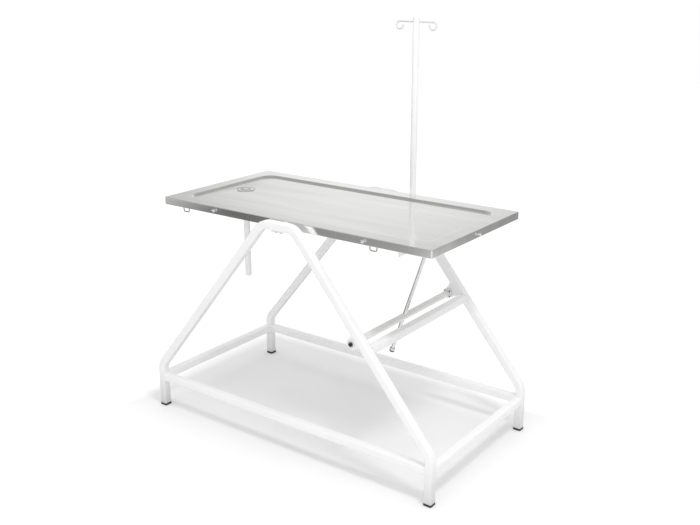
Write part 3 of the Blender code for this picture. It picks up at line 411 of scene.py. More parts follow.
outwards = {"front": Vector((0, -1, 0)), "rear": Vector((0, 1, 0))}
for side, outward in outwards.items():
    low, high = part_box(f"saddle_plate_{side}")
    plate = raised(outline(high.x - low.x, high.y - low.y, saddle_corner), high.z - low.z)
    lay(soften(plate, 0.0006), (0, side_y[side], low.z))
    settle(plate, f"saddle_{side}", bright_zinc, "base", "zinc_plated_steel", f"saddle_plate_{side}")
    bolts = [hexagon(bolt_across, bolt_height, (x, side_y[side], low.z), (0, 0, -1))
             for x in (-bolt_x, bolt_x)]
    settle(gather(*bolts), f"saddle_bolts_{side}", black_steel, "base", "zinc_plated_steel")

    start, length = beside_top(f"pivot_axle_{side}", side)
    axle = turned([(0, 0), (axle_head, 0), (axle_head, head_height), (axle_radius, head_height),
                   (axle_radius, length), (0, length)])
    lay(soften(axle, 0.0008), (0, start, pivot_height), outward)
    settle(axle, f"axle_{side}", zinc, "base", "zinc_plated_steel", f"pivot_axle_{side}")

    start, length = beside_top(f"pivot_spacer_{side}", side)
    spacer = lay(sleeve(spacer_outer, spacer_bore, 0, length), (0, start, pivot_height), outward)
    settle(spacer, f"sleeve_{side}", pale_plastic, "base", "pale_plastic", f"pivot_spacer_{side}")

    start, length = beside_top(f"pivot_bush_{side}", side)
    neck = length - flange_height
    bush = turned([(bush_radius, 0), (bush_radius, neck), (bush_flange, neck), (bush_flange, length),
                   (bush_bore, length), (bush_bore, 0), (bush_radius, 0)])
    lay(soften(bush, 0.0004), (0, start, pivot_height), outward)
    settle(bush, f"bush_{side}", pale_plastic, "top", "pale_plastic", f"pivot_bush_{side}")

# Tray
# The top is one 2 mm sheet of brushed stainless: pressed down into a recess, cross-broken so that
# its floor falls to the drain's seat, and folded down into a skirt and in again to a lip that hides
# its edge. It rests on the under-frame.
middle_y = sum(corner.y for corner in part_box("tray")) / 2
top_size, top_height, skirt_low, sheet = Vector((1.2, 0.6)), 0.875, 0.847, 0.002
skirt_corner, fold_radius, lip_bend, lip_reach = 0.0045, 0.0018, 0.002, 0.014
recess_size, recess_corner, floor_height = Vector((1.084, 0.476)), 0.050, 0.868
edge_radius, edge_start, root_radius, root_end = 0.0085, -0.0034, 0.0045, 0.0084
drain_x, drain_step, drain_seat, drain_bore, seat_height = -0.455, 0.083, 0.076, 0.044, 0.865
floor_fall, circle_slack = 0.0012, 0.0002


def vectors(tree, operation, *values):
    """A vector worked out from others, or a number where the operation gives one."""
    node = add(tree, "ShaderNodeVectorMath", enumerate(values), operation=operation)
    return node.outputs["Value" if operation in ("DOT_PRODUCT", "LENGTH") else "Vector"]


# Brushing: drawn lines, wiped smears between them and the slow waves of sprung sheet
brushing, took, gave = effect("brushing", ["Along", "Across"], ["Lines", "Smear", "Height"])
stretch = add(brushing, "ShaderNodeCombineXYZ",
              {0: took["Along"], 1: took["Across"], 2: took["Across"]}).outputs[0]
lines = noise(brushing, vectors(brushing, "MULTIPLY", took["Vector"], stretch), 1.0, 4.0, 0.6)
wiped = vectors(brushing, "MULTIPLY", took["Vector"], (1.6, 16.0, 16.0))
sprung = vectors(brushing, "MULTIPLY", took["Vector"], (0.8, 9.0, 9.0))
waves = noise(brushing, sprung, 1.0, 1.0, 0.5, 0.3)
brushing.links.new(lines, gave["Lines"])
brushing.links.new(noise(brushing, wiped, 1.0, 3.0, 0.55, 0.4), gave["Smear"])
brushing.links.new(sums(brushing, "MULTIPLY_ADD", waves, 45.0, lines), gave["Height"])

stainless, tree, shader, place = surface("stainless_sheet", {"Metallic": 1.0})
brush = placed(tree, brushing, place, Along=2.5, Across=700.0)
steel = ramp(tree, brush["Lines"], (0.30, (0.865, 0.860, 0.852)), (0.70, (0.925, 0.920, 0.912)))
smears = ramp(tree, brush["Smear"], (0.36, (0.93, 0.93, 0.925)), (0.64, (1.0, 1.0, 1.0)))
dress(tree, shader, mixed(tree, 1.0, steel, smears, "MULTIPLY"),
      span(tree, brush["Smear"], 0.10, 0.16, 0.35, 0.65), brush["Height"], 0.05, 0.0002)


def ring(bm, length, width, corner, z, x):
    """A closed ring of edges round a rounded rectangle, laid at a height."""
    flat = outline(length, width, max(corner, 0.0004), 8)
    corners = [vert.co.copy() for vert in next(iter(flat.faces)).verts]
    flat.free()
    verts = [bm.verts.new((corner.x + x, corner.y, z)) for corner in corners]
    return verts, [bm.edges.new(pair) for pair in zip(verts, verts[1:] + verts[:1])]


def rings_joined(rings):
    """A sheet through rings of (length, width, corner, height, x), from the first to the last."""
    bm = bmesh.new()
    laid = [ring(bm, length, width, corner, 0.1 * i, x)
            for i, (length, width, corner, _, x) in enumerate(rings)]
    for (_, outer), (_, inner) in zip(laid, laid[1:]):
        bmesh.ops.bridge_loops(bm, edges=outer + inner)
    for (verts, _), (_, _, _, height, _) in zip(laid, rings):
        for vert in verts:
            vert.co.z = height
    return bm


def inset(size, corner, by, height):
    """A ring set in from a rectangle by a distance."""
    return size.x - 2 * by, size.y - 2 * by, corner - by, height, 0.0


path = [inset(top_size, skirt_corner, lip_reach, skirt_low)]
for step in range(5):
    turn = pi / 2 * step / 4
    path.append(inset(top_size, skirt_corner, lip_bend * (1 - sin(turn)),
                      skirt_low + lip_bend * (1 - cos(turn))))
for step in range(7):
    turn = pi / 2 * step / 6
    path.append(inset(top_size, skirt_corner, fold_radius * (1 - cos(turn)),
                      top_height - fold_radius * (1 - sin(turn))))
for step in range(5):
    turn = pi / 4 * step / 4
    path.append(inset(recess_size, recess_corner, edge_start + edge_radius * sin(turn),
                      top_height - edge_radius * (1 - cos(turn))))
for step in range(5):
    turn = pi / 4 * (1 - step / 4)
    path.append(inset(recess_size, recess_corner, root_end - root_radius * sin(turn),
                      floor_height + root_radius * (1 - cos(turn))))
for across, height in ((drain_step, floor_height - floor_fall), (drain_seat, seat_height),
                       (drain_bore, seat_height)):
    path.append((across, across, across / 2 - circle_slack, height, drain_x))
tray = settle(lay(rings_joined(path), (0, middle_y, 0)), "pressed_tray", stainless, "top",
              "stainless_sheet", "tray", sharp=40)

# Creases of the cross-break: the edges that run from the drain to the corners of the recess floor
floor_corner = recess_size / 2 - Vector((recess_corner, recess_corner))
on_ring, on_floor, on_diagonal = 0.001, 0.0001, 0.003
for edge in tray.data.edges:
    ends = [tray.data.vertices[i].co - Vector((0, middle_y, 0)) for i in edge.vertices]
    inner, outer = sorted(ends, key=lambda end: end.z)
    past = Vector((abs(outer.x), abs(outer.y))) - floor_corner
    at_drain = abs(hypot(inner.x - drain_x, inner.y) - drain_step / 2) < on_ring
    if at_drain and outer.z > floor_height - on_floor and abs(past.x - past.y) < on_diagonal:
        edge.use_edge_sharp = True
wall = tray.modifiers.new("sheet", "SOLIDIFY")
wall.thickness, wall.offset = sheet, -1
level = tray.modifiers.new("level", "WEIGHTED_NORMAL")
level.weight, level.keep_sharp = 100, True

# Under-frame
# A ring of 25 mm coated tube below the rim stiffens the sheet. A length of rolled steel angle, welded
# across below it near the right end and coated with it, takes the clevis of the tilt rod.
under_frame = {"under_rail_front": 0, "under_rail_rear": 0, "under_end_left": 1, "under_end_right": 1}
under_round, leaf, root_fillet, toe_round = 0.003, 0.003, 0.0028, 0.0014
for node, axis in under_frame.items():
    settle(tube_in(*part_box(node), axis, under_round), f"coated_{node}", white_coat, "top",
           "white_powder_coat", node)
low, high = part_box("rod_beam")
wide, deep = high.x - low.x, high.z - low.z
angle = bmesh.new()
corners = [(0, 0), (wide, 0), (wide, -leaf), (leaf, -leaf), (leaf, -deep), (0, -deep)]
angle.faces.new([angle.verts.new((x, z, 0)) for x, z in corners])
raised(angle, high.y - low.y)
for corner, radius, rounds in (((leaf, -leaf), root_fillet, 4), ((leaf, -deep), toe_round, 3)):
    soften(angle, radius, rounds, lambda e: (e.verts[0].co - e.verts[1].co).z != 0
           and (e.verts[0].co.xy - Vector(corner)).length < 0.0001)
settle(turn_to(angle, 1, (low.x, low.y, high.z)), "coated_rod_beam", white_coat, "top",
       "white_powder_coat", "rod_beam")

# Clevis and its pin
# A U of zinc-plated plate is screwed to the beam. The rod's eye hangs between its ears on a headed
# pin, kept in by a split pin of wire.
ear, clevis_bend, ear_round = 0.004, 0.0030, 0.0100
pin_radius, pin_head, pin_head_height = 0.005, 0.0075, 0.0037
split_radius, split_in = 0.0007, 0.0016
low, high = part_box("rod_clevis")
pin_low, pin_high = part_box("clevis_pin")
pin = (pin_low + pin_high) / 2
inner = (high.y - low.y) / 2 - ear
clevis = bmesh.new()
corners = [(low.x, -inner - ear), (high.x, -inner - ear), (high.x, inner + ear), (low.x, inner + ear),
           (low.x, inner), (high.x - ear, inner), (high.x - ear, -inner), (low.x, -inner)]
clevis.faces.new([clevis.verts.new((x, pin.y + y, low.z)) for x, y in corners])
raised(clevis, high.z - low.z)
soften(clevis, clevis_bend, 4, lambda e: abs(e.verts[0].co.z - e.verts[1].co.z) > 0.01
       and e.verts[0].co.x > high.x - 0.001)
soften(clevis, ear_round, 6, lambda e: abs(e.verts[0].co.y - e.verts[1].co.y) > 0.003
       and max(v.co.x for v in e.verts) < low.x + 0.001)
settle(soften(clevis, 0.0004), "clevis", zinc, "top", "zinc_plated_steel", "rod_clevis")
length = pin_high.y - pin_low.y
headed = turned([(0, 0), (pin_head, 0), (pin_head, pin_head_height), (pin_radius, pin_head_height),
                 (pin_radius, length), (0, length)])
lay(soften(headed, 0.0006), (pin.x, pin_low.y, pin.z), (0, 1, 0))
settle(headed, "headed_pin", zinc, "top", "zinc_plated_steel", "clevis_pin")
route = [(-0.0075, 0.0012), (-0.006, 0.0008), (0.006, 0.0008)]
route += [(0.008 + 0.0024 * sin(t * pi / 6), 0.0024 * cos(t * pi / 6)) for t in range(7)]
route += [(0.006, -0.0008), (-0.006, -0.0008), (-0.0075, -0.0022)]
split = wire("split_pin", split_radius, 3)
strand(split, [(pin.x + aside, pin_high.y - split_in, pin.z + rise) for rise, aside in route])
claim(bpy.data.objects.new("split_pin", split), zinc, "top", "zinc_plated_steel")

# Drain
# A spun stainless flange sits in the tray with a perforated strainer in its bore. Below the sheet a
# moulded lock nut clamps it, and a reducer and a length of waste pipe carry the water down to a bucket.
hole_count, hole_diameter, hole_circle, hole_start = 8, 0.0050, 0.0094, 0.13
nut_outer, nut_bore, rib_count, rib_circle, rib_size = 0.058, 0.044, 12, 0.0282, (0.003, 0.0036)
shoulder, neck_length, pipe_outer, pipe_bore = 0.8307, 0.014, 0.025, 0.021
chrome = plated("chrome", (0.77, 0.77, 0.775), (0.85, 0.85, 0.85), 0.05, 0.10, 0.01)
drain = Vector((drain_x, middle_y, 0))
low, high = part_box("drain_flange")
deep = low.z - high.z
flange = turned([(0.0215, -0.0002), (0.0230, 0), (0.0318, 0), (0.0330, -0.0004), (0.0340, -0.0016),
                 (0.0340, -0.0025), (0.0217, -0.0025), (0.0217, deep), (0.0192, deep), (0.0192, -0.0065),
                 (0.0202, -0.0020), (0.0215, -0.0002)], 64)
lay(flange, drain + Vector((0, 0, high.z)))
settle(flange, "spun_flange", stainless, "top", "stainless_sheet", "drain_flange")
low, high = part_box("drain_strainer")
deep = low.z - high.z
dish = turned([(0, -0.0014), (0.0148, -0.0015), (0.0187, 0), (0.0187, -0.0018), (0.0148, deep),
               (0, deep)], 64)
lay(dish, drain + Vector((0, 0, high.z)))
dish = settle(dish, "strainer", chrome, "top", "chrome", "drain_strainer")


def bored(piece, cutter):
    """Cuts a shape out of a piece for good."""
    tool = bpy.data.objects.new("tool", bpy.data.meshes.new("tool"))
    bmesh.ops.recalc_face_normals(cutter, faces=cutter.faces)
    cutter.to_mesh(tool.data)
    cutter.free()
    bpy.context.scene.collection.objects.link(tool)
    cut = piece.modifiers.new("cut", "BOOLEAN")
    cut.object, cut.operation, cut.solver = tool, "DIFFERENCE", "EXACT"
    graph = bpy.context.evaluated_depsgraph_get()
    mesh = bpy.data.meshes.new_from_object(piece.evaluated_get(graph))
    piece.modifiers.remove(cut)
    old, name = piece.data, piece.data.name
    piece.data = mesh
    bpy.data.meshes.remove(old)
    mesh.name = name
    bpy.data.objects.remove(tool)


def drill(diameter, length, at, along=(0, 0, 1), steps=32):
    """A plain cylinder about its middle, to cut with."""
    bm = bmesh.new()
    bmesh.ops.create_cone(bm, cap_ends=True, segments=steps, radius1=diameter / 2, radius2=diameter / 2,
                          depth=length)
    return lay(bm, at, along)


holes = []
for step in range(hole_count):
    turn = 2 * pi * step / hole_count + hole_start
    at = drain + Vector((hole_circle * cos(turn), hole_circle * sin(turn), high.z))
    holes.append(drill(hole_diameter, 0.02, at))
bored(dish, gather(*holes))
low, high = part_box("drain_nut")
nut = sleeve(nut_outer, nut_bore, low.z, high.z, 0.001, 64)
ribs = []
for step in range(rib_count):
    rib = bmesh.new()
    bmesh.ops.create_cube(rib, size=1)
    bmesh.ops.scale(rib, vec=(*rib_size, high.z - low.z - 0.003), verts=rib.verts)
    bmesh.ops.translate(rib, vec=(rib_circle, 0, (low.z + high.z) / 2), verts=rib.verts)
    bmesh.ops.rotate(rib, matrix=Matrix.Rotation(2 * pi * step / rib_count, 3, "Z"), verts=rib.verts)
    ribs.append(soften(rib, 0.0008))
settle(lay(gather(nut, *ribs), drain), "lock_nut", pale_plastic, "top", "pale_plastic", "drain_nut")
low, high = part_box("drain_reducer")
neck = low.z + neck_length
reducer = turned([(0.025, high.z), (0.025, shoulder), (0.0158, neck + 0.008), (0.0158, low.z),
                  (0.0128, low.z), (0.0128, neck), (0.0105, neck), (0.0192, shoulder), (0.022, shoulder),
                  (0.022, high.z), (0.025, high.z)], 64)
lay(soften(reducer, 0.0008, 3), drain)
settle(reducer, "reducer", pale_plastic, "top", "pale_plastic", "drain_reducer")
low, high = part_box("drain_pipe")
pipe = lay(sleeve(pipe_outer, pipe_bore, low.z, high.z, 0.0005, 64), drain)
settle(pipe, "waste_pipe", pale_plastic, "top", "pale_plastic", "drain_pipe")

# Tie-down studs
# Six necked buttons of turned, polished steel are riveted through the skirt. Cords are wound round
# their necks and held by their domed heads.
studs = {"tie_stud_front_left": (0, -1, 0), "tie_stud_front_right": (0, -1, 0),
         "tie_stud_left": (-1, 0, 0), "tie_stud_rear_left": (0, 1, 0), "tie_stud_rear_right": (0, 1, 0),
         "tie_stud_right": (1, 0, 0)}
for node, outward in studs.items():
    low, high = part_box(node)
    outward = Vector(outward)
    seat = (low + high) / 2 - outward * abs((high - low).dot(outward)) / 2
    button = turned([(0, 0), (0.0056, 0), (0.0044, 0.0008), (0.0036, 0.0022), (0.0036, 0.0040),
                     (0.0052, 0.0046), (0.0066, 0.0057), (0.0070, 0.0070), (0.0067, 0.0084),
                     (0.0059, 0.0097), (0.0044, 0.0108), (0.0024, 0.0113), (0, 0.0115)], 40)
    settle(lay(button, seat, outward), f"turned_{node}", chrome, "top", "chrome", node)

# Tie loops
# Four U-shaped loops of 4 mm wire hang below the skirt for straps and cords; their dark grey, deeper
# than chrome, is a painted reflection of dark surroundings. Their ends are welded to the inside of the
# lip.
loop_wire, loop_radius, weld_gap = 0.004, 0.007, 0.0003
# Dark grey plated wire: a painted reflection of dark surroundings, darker than the chrome it stands for.
painted_reflection_wire = plated("painted_reflection_wire", (0.34, 0.34, 0.34), (0.44, 0.44, 0.43), 0.20, 0.30)
for node in ("tie_loop_front_left", "tie_loop_front_right", "tie_loop_rear_left", "tie_loop_rear_right"):
    low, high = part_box(node)
    at = (low + high) / 2
    loop_half, loop_drop = (high.x - low.x - loop_wire) / 2, skirt_low - low.z - loop_wire / 2
    route = [(-loop_half, -weld_gap)]
    for start, sign in ((pi, -1), (1.5 * pi, 1)):
        for step in range(13):
            turn = start + step * pi / 24
            route.append((sign * (loop_half - loop_radius) + loop_radius * cos(turn),
                          loop_radius - loop_drop + loop_radius * sin(turn)))
    route.append((loop_half, -weld_gap))
    loop = wire(f"bent_{node}", loop_wire / 2, 5)
    strand(loop, [(at.x + x, at.y, skirt_low + z) for x, z in route])
    claim(bpy.data.objects.new(f"bent_{node}", loop), painted_reflection_wire, "top", "chrome", node)

# Trunnion lugs
# Two 5 mm steel plates, round at one end, carry the cross tube of the tilt lock. They are welded to
# the undersides of the right-hand legs and coated with them.
trunnion = Vector((0.308, middle_y, 0.497))
lug_radius, lug_seat, lug_bore, lug_stand = 0.0215, 0.030, 0.0256, 0.0635
flank_x, flank_y = 0.34 * lug_radius, 0.94 * lug_radius
to_leg = Vector((cos(leg_angle), 0, sin(leg_angle)))
reach = lug_stand * cos(leg_angle) - frame_tube / 2 - weld_gap
for side in outwards:
    low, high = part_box(f"trunnion_lug_{side}")
    at = Vector((trunnion.x, low.y, trunnion.z))
    plate = bmesh.new()
    bmesh.ops.create_circle(plate, cap_ends=True, segments=72, radius=lug_radius)
    for vert in plate.verts:
        if vert.co.x > flank_x:
            vert.co = Vector((reach, vert.co.y * lug_seat / flank_y, 0))
    raised(plate, high.y - low.y)
    turn = Matrix((to_leg, Vector((0, 1, 0)).cross(to_leg), (0, 1, 0))).transposed().to_4x4()
    bmesh.ops.transform(plate, matrix=Matrix.Translation(at) @ turn, verts=plate.verts)
    lug = settle(soften(plate, 0.0006), f"welded_lug_{side}", white_coat, "base", "white_powder_coat",
                 f"trunnion_lug_{side}")
    bored(lug, drill(lug_bore, 0.05, at, (0, 1, 0), 64))

# Trunnion tube, collars and lock screw
# A lacquered zinc-plated tube turns in the lugs between two flanged collars. The tilt rod passes
# through it, and a long screw inside, turned by a black knob at the front end, clamps the rod where
# it stands.
cross_tube, cross_bore, rod_hole = 0.025, 0.021, 0.0146
collar_outer, insert_outer, insert_bore = 0.037, 0.0204, 0.0106
screw_circle, knob_radius, knob_ribs, knob_depth = 0.0157, 0.0058, 16, 0.025


def on_axis(bm, y, along=1):
    """Lays a shape on the axis of the cross tube, towards the rear or, at -1, the front."""
    return lay(bm, (trunnion.x, y, trunnion.z), (0, along, 0))


low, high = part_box("trunnion_tube")
tube = on_axis(sleeve(cross_tube, cross_bore, 0, high.y - low.y, 0.0004, 64), low.y)
tube = settle(tube, "cross_tube", bright_zinc, "trunnion", "zinc_plated_steel", "trunnion_tube")
pin_offset = Vector((pin.x - trunnion.x, 0, pin.z - trunnion.z))
lean = pin_offset.normalized()
bored(tube, drill(rod_hole, 0.06, trunnion, lean, 48))
for side, outward in outwards.items():
    low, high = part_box(f"trunnion_collar_{side}")
    collar = on_axis(sleeve(collar_outer, lug_bore, 0, high.y - low.y, 0.0008, 64), low.y)
    settle(collar, f"collar_{side}", bright_zinc, "trunnion", "zinc_plated_steel",
           f"trunnion_collar_{side}")
    face = high.y if side == "front" else low.y
    screws = []
    for step in range(4):
        turn = pi / 4 + step * pi / 2
        at = (trunnion.x + screw_circle * cos(turn), face, trunnion.z + screw_circle * sin(turn))
        head = turned([(0, 0), (0.0022, 0), (0.0022, 0.0010), (0.0015, 0.0018), (0, 0.0020)], 24)
        screws.append(lay(head, at, -outward))
    settle(gather(*screws), f"collar_screws_{side}", black_steel, "trunnion", "zinc_plated_steel")
low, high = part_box("lock_insert")
insert = on_axis(sleeve(insert_outer, insert_bore, 0, high.y - low.y), low.y)
settle(insert, "screw_insert", zinc, "trunnion", "zinc_plated_steel", "lock_insert")
plug = turned([(0, 0), (0.0092, 0), (0.0102, 0.001), (0.0102, 0.0123), (0.0125, 0.0123),
               (0.0125, 0.0138), (0.0116, 0.0148), (0, 0.0150)])
on_axis(plug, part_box("trunnion_plug")[0].y)
settle(plug, "end_plug", black_plastic, "trunnion", "black_plastic", "trunnion_plug")
low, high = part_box("lock_spindle")
length = high.y - low.y
spindle = turned([(0, 0), (0.003, 0), (0.005, 0.002), (0.005, length), (0, length)], 32)
settle(on_axis(spindle, high.y, -1), "clamp_screw", zinc, "lock", "zinc_plated_steel", "lock_spindle")
low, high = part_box("lock_knob")
knob = bmesh.new()
bmesh.ops.create_circle(knob, cap_ends=True, segments=96, radius=knob_radius)
for vert in knob.verts:
    vert.co *= 1 - knob_depth + knob_depth * cos(knob_ribs * atan2(vert.co.y, vert.co.x))
raised(knob, high.y - low.y)
soften(knob, 0.0016, 3, lambda e: min(v.co.z for v in e.verts) > 0.005)
on_axis(knob, high.y, -1)
settle(knob, "lock_handwheel", black_plastic, "lock", "black_plastic", "lock_knob")

# Tilt rod
# A 14 mm chromed steel rod slides through the cross tube. A forged eye is pressed on its upper end, and
# a steel stop ring with a black domed buffer on its lower end keeps it from being drawn out.
rod_radius, rod_below, press_depth = 0.007, 0.150, 0.0043
eye_radius, eye_bore, eye_half, eye_stand = 0.0152, 0.0082, 0.0060, 0.004
stop_radius, stop_bore, stop_top, stop_bottom = 0.010, 0.0073, 0.008, -0.0013
rise = pin_offset.length
shank_top = rise - eye_radius - eye_stand
rod_top = shank_top - press_depth
bar = turned([(0, -rod_below), (rod_radius, -rod_below), (rod_radius, rod_top), (0, rod_top)])
settle(lay(bar, trunnion, lean), "chromed_rod", chrome, "rod", "chrome", "tilt_rod")
half_eye = [(eye_bore, -0.0052), (eye_bore + 0.0008, -eye_half), (eye_radius - 0.0016, -eye_half),
            (eye_radius, -0.0044)]
eye = turned(half_eye + [(radius, -z) for radius, z in reversed(half_eye)] + half_eye[:1], 64)
lay(eye, trunnion + lean * rise, (0, 1, 0))
shank_end = rise - eye_bore - 0.002 - shank_top
shank = turned([(0, -0.022), (0.0092, -0.022), (0.010, -0.021), (0.010, -0.004), (0.0090, -0.001),
                (0.0066, 0.002), (0.0057, 0.006), (0.0057, shank_end), (0, shank_end)])
lay(shank, trunnion + lean * shank_top, lean)
settle(gather(eye, shank), "forged_eye", zinc, "rod", "zinc_plated_steel", "rod_eye")
rod_end = trunnion - lean * rod_below
stop = turned([(stop_bore, stop_top), (stop_radius - 0.0008, stop_top), (stop_radius, stop_top - 0.0008),
               (stop_radius, stop_bottom), (stop_bore, stop_bottom), (stop_bore, stop_top)])
settle(lay(stop, rod_end, lean), "stop_ring", chrome, "rod", "chrome", "rod_stop")
tip = turned([(0, -0.0015), (0.0098, -0.0015), (0.0098, -0.0050), (0.0092, -0.0068), (0.0077, -0.0085),
              (0.0050, -0.0096), (0, -0.010)])
settle(lay(tip, rod_end, lean), "buffer", black_plastic, "rod", "black_plastic")

# Pole socket
# A coated steel cup welded behind the rear A-frame holds the drip pole. A boss on its back is tapped
# for the clamp screw.
cup_bore, cup_floor, drip_hole = 0.0128, 0.004, 0.004
boss_radius, boss_start, grip_height = 0.008, 0.0138, 0.7472
low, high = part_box("pole_socket")
cup_radius = (high.x - low.x) / 2
pole = Vector((low.x + cup_radius, low.y + cup_radius, 0))
inside = low.z + cup_floor
cup = turned([(cup_radius, low.z), (cup_radius, high.z), (cup_bore, high.z), (cup_bore, inside),
              (drip_hole, inside), (drip_hole, low.z), (cup_radius, low.z)], 64)
lay(soften(cup, 0.0006), pole)
settle(cup, "socket_cup", white_coat, "base", "white_powder_coat", "pole_socket")
length = high.y - pole.y - boss_start
boss = soften(turned([(0, 0), (boss_radius, 0), (boss_radius, length), (0, length)]), 0.0006)
lay(boss, (pole.x, pole.y + boss_start, grip_height), (0, 1, 0))
settle(boss, "socket_boss", white_coat, "base", "white_powder_coat")

# Drip pole
# A 25 mm coated tube stands in the socket, closed by a pale cap. One bright wire passes through it near
# the top and is curled at both ends into hooks for infusion bags.
pole_outer, pole_bore = 0.025, 0.022
hook_wire, hook_height, hook_half, hook_radius = 0.006, 1.520, 0.075, 0.014
hook_turn, hook_lead, hook_steps = radians(285), 0.004, 48
low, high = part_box("iv_pole")
tube = lay(sleeve(pole_outer, pole_bore, low.z, high.z, 0.0004, 64), pole)
settle(tube, "pole_tube", white_coat, "pole", "white_powder_coat", "iv_pole")
cap = turned([(0, -0.005), (0.0107, -0.005), (0.0107, 0.0003), (0.0125, 0.0003), (0.0125, 0.0030),
              (0.0120, 0.0050), (0.0108, 0.0070), (0.0088, 0.0085), (0.0060, 0.0094), (0, 0.010)], 64)
lay(cap, pole + Vector((0, 0, high.z)))
settle(cap, "pole_cap", pale_plastic, "pole", "pale_plastic", "iv_cap")
bright_wire = plated("bright_wire", (0.90, 0.90, 0.89), (0.94, 0.94, 0.93), 0.24, 0.34, 0.02, 0.45)
curl = []
for step in range(hook_steps + 1):
    turn = pi / 2 - hook_turn * step / hook_steps
    curl.append((hook_half + hook_radius * cos(turn), -hook_lead * step / hook_steps,
                 hook_height - hook_radius + hook_radius * sin(turn)))
route = [(-x, -y, z) for x, y, z in reversed(curl)] + curl
hooks = wire("hook_wire", hook_wire / 2, 5)
strand(hooks, [(pole.x + x, pole.y + y, z) for x, y, z in route])
claim(bpy.data.objects.new("hook_wire", hooks), bright_wire, "pole", "chrome", "iv_hooks")

# Clamp grip
# A black five-lobed knob moulded on a steel screw. The screw turns in the boss of the socket and is
# tightened by hand to hold the pole at its height.
grip_radius, grip_depth, grip_lobes, lobe_depth = 0.015, 0.016, 5, 0.10
screw_radius, screw_start = 0.004, 0.012
low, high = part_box("pole_grip")
grip = bmesh.new()
bmesh.ops.create_circle(grip, cap_ends=True, segments=120, radius=grip_radius)
for vert in grip.verts:
    vert.co *= 1 - lobe_depth + lobe_depth * cos(grip_lobes * atan2(vert.co.y, vert.co.x))
soften(raised(grip, grip_depth), 0.0022, 4)
lay(grip, (pole.x, high.y - grip_depth, grip_height), (0, 1, 0))
settle(grip, "lobed_grip", black_plastic, "grip", "black_plastic", "pole_grip")
length = high.y - screw_start - low.y
screw = turned([(0, 0), (screw_radius - 0.0008, 0), (screw_radius, 0.0008), (screw_radius, length),
                (0, length)], 32)
lay(screw, (pole.x, low.y, grip_height), (0, 1, 0))
settle(screw, "grip_screw", zinc, "grip", "zinc_plated_steel")

# Studio
# A pale paper floor that runs out to white round the table, in a white room that is paler overhead,
# with a small key light from the upper right and a broad fill from the front. Parts of the floor and
# walls look darker where bright metal reflects them.
scene = bpy.context.scene
floor_mesh = bmesh.new()
bmesh.ops.create_grid(floor_mesh, x_segments=1, y_segments=1, size=12.0)
mesh = bpy.data.meshes.new("floor")
floor_mesh.to_mesh(mesh)
floor_mesh.free()
floor = bpy.data.objects.new("floor", mesh)
scene.collection.objects.link(floor)
material, tree, shader, place = surface("studio_floor", {"Roughness": 0.9, "Specular IOR Level": 0.0,
                                                         "Emission Color": (1, 1, 1, 1)})
mesh.materials.append(material)


def greys(tree, factor, *stops):
    """A grey that runs through stops of (place, level) as a factor rises."""
    return ramp(tree, factor, *((place, (level, level, level)) for place, level in stops))


def mirror_view(tree, seen):
    """1 for what the camera sees in bright metal, 0 for light that has met a dull surface."""
    direct = sums(tree, "LESS_THAN", seen["Diffuse Depth"], 0.5)
    return sums(tree, "MULTIPLY", seen["Is Glossy Ray"], direct)


seen = add(tree, "ShaderNodeLightPath").outputs
in_metal = mirror_view(tree, seen)
paper = greys(tree, noise(tree, place, 3.0, 2.0), (0.3, 0.86), (0.7, 0.88))
tree.links.new(mixed(tree, in_metal, paper, (0, 0, 0, 1)), shader["Base Color"])

# White-out: the floor's shade ends at once behind the base and runs out slowly in front of it
near_half = Vector((leg_x - 0.02, (side_y["rear"] - side_y["front"]) / 2 - 0.02, 0))
far_half = near_half + Vector((0.115, 0.16, 0))
near_reach, far_reach, white_glow = 0.35, 0.08, 0.22
centred = vectors(tree, "SUBTRACT", place, (0, middle_y, 0))
white_out = 0.0
for sides, half, reach in (((-1, 1, 0), far_half, far_reach), ((1, -1, 0), near_half, near_reach)):
    beyond = vectors(tree, "SUBTRACT", vectors(tree, "MULTIPLY", centred, sides), half)
    clear = vectors(tree, "LENGTH", vectors(tree, "MAXIMUM", beyond, (0, 0, 0)))
    white_out = sums(tree, "MAXIMUM", white_out, span(tree, clear, 0.0, white_glow, 0.0, reach))
rightward = vectors(tree, "DOT_PRODUCT", place, (1.0, -0.2, 0))
backward = add(tree, "ShaderNodeSeparateXYZ", {"Vector": place}).outputs["Y"]
dim_left = greys(tree, span(tree, rightward, 0.0, 1.0, -3.5, 0.0), (0.0, 0.80), (0.20, 0.60),
                 (0.42, 0.142), (0.51, 0.16), (0.63, 0.31), (0.88, 0.36), (0.98, 0.90))
dim_behind = greys(tree, span(tree, backward, 0.0, 1.0, 0.0, 4.0), (0.30, 1.0), (0.50, 0.66),
                   (0.65, 0.40), (0.90, 0.36))
mirrored = mixed(tree, 1.0, dim_left, dim_behind, "MULTIPLY")
shown = sums(tree, "MULTIPLY", white_out, seen["Is Camera Ray"])
tree.links.new(mixed(tree, in_metal, shown, mirrored), shader["Emission Strength"])

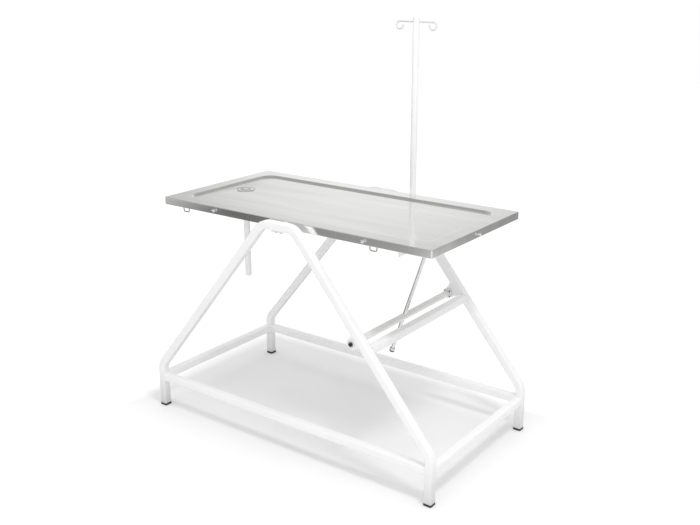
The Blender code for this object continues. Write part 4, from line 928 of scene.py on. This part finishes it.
# Room: white to the camera, paler overhead as light, and grey round one bright wall in metal
world = bpy.data.worlds.new("studio")
scene.world = world
world.use_nodes = True
tree = world.node_tree
room = tree.nodes["Background"].inputs
room["Color"].default_value = (1, 1, 1, 1)
seen = add(tree, "ShaderNodeLightPath").outputs
way = add(tree, "ShaderNodeTexCoord").outputs["Generated"]
bright_way = Vector((-0.554, 0.821, 0.209)).normalized()
wall_greys = {6: 1.0, 8.5: 0.96, 12.5: 0.73, 16: 0.57, 35: 0.50, 85: 0.37, 115: 0.82}
stretched = vectors(tree, "NORMALIZE", vectors(tree, "MULTIPLY", way, (1, 1, 1.5)))
aside = sums(tree, "ARCCOSINE", vectors(tree, "DOT_PRODUCT", stretched, bright_way))
walls = greys(tree, span(tree, aside, 0.0, 1.0, 0.0, pi),
              *((degrees / 180, level) for degrees, level in wall_greys.items()))
paler = span(tree, vectors(tree, "DOT_PRODUCT", way, (0.08, 0, 0.76)), 0.20, 1.25, -0.25, 0.80)
lit = mixed(tree, mirror_view(tree, seen), paler, walls)
tree.links.new(mixed(tree, seen["Is Camera Ray"], lit, (1, 1, 1, 1)), room["Strength"])

soft_lights = {"key": ((1.6, -0.9, 3.0), (0.1, -0.05, 0.3), 0.45, 0.4, 22),
               "front_fill": ((-0.6, -4.0, 0.7), (0.0, 0.0, 0.3), 2.0, 1.2, 15)}
for name, (stands, faces, wide, deep, watts) in soft_lights.items():
    lamp = bpy.data.lights.new(name, "AREA")
    lamp.shape, lamp.size, lamp.size_y, lamp.energy = "RECTANGLE", wide, deep, watts
    light = bpy.data.objects.new(name, lamp)
    light.location = stands
    light.rotation_euler = (Vector(faces) - light.location).to_track_quat("-Z", "Y").to_euler()
    light.visible_glossy = False
    scene.collection.objects.link(light)

lens = bpy.data.cameras.new("camera")
lens.lens, lens.sensor_width = 46.95, 36.0
camera = bpy.data.objects.new("camera", lens)
camera.location = (1.998, -2.6616, 1.704)
target = Vector((0.0412, 0.0022, 0.6456))
camera.rotation_euler = (target - camera.location).to_track_quat("-Z", "Y").to_euler()
scene.collection.objects.link(camera)
scene.camera = camera
scene.view_settings.view_transform = "Standard"
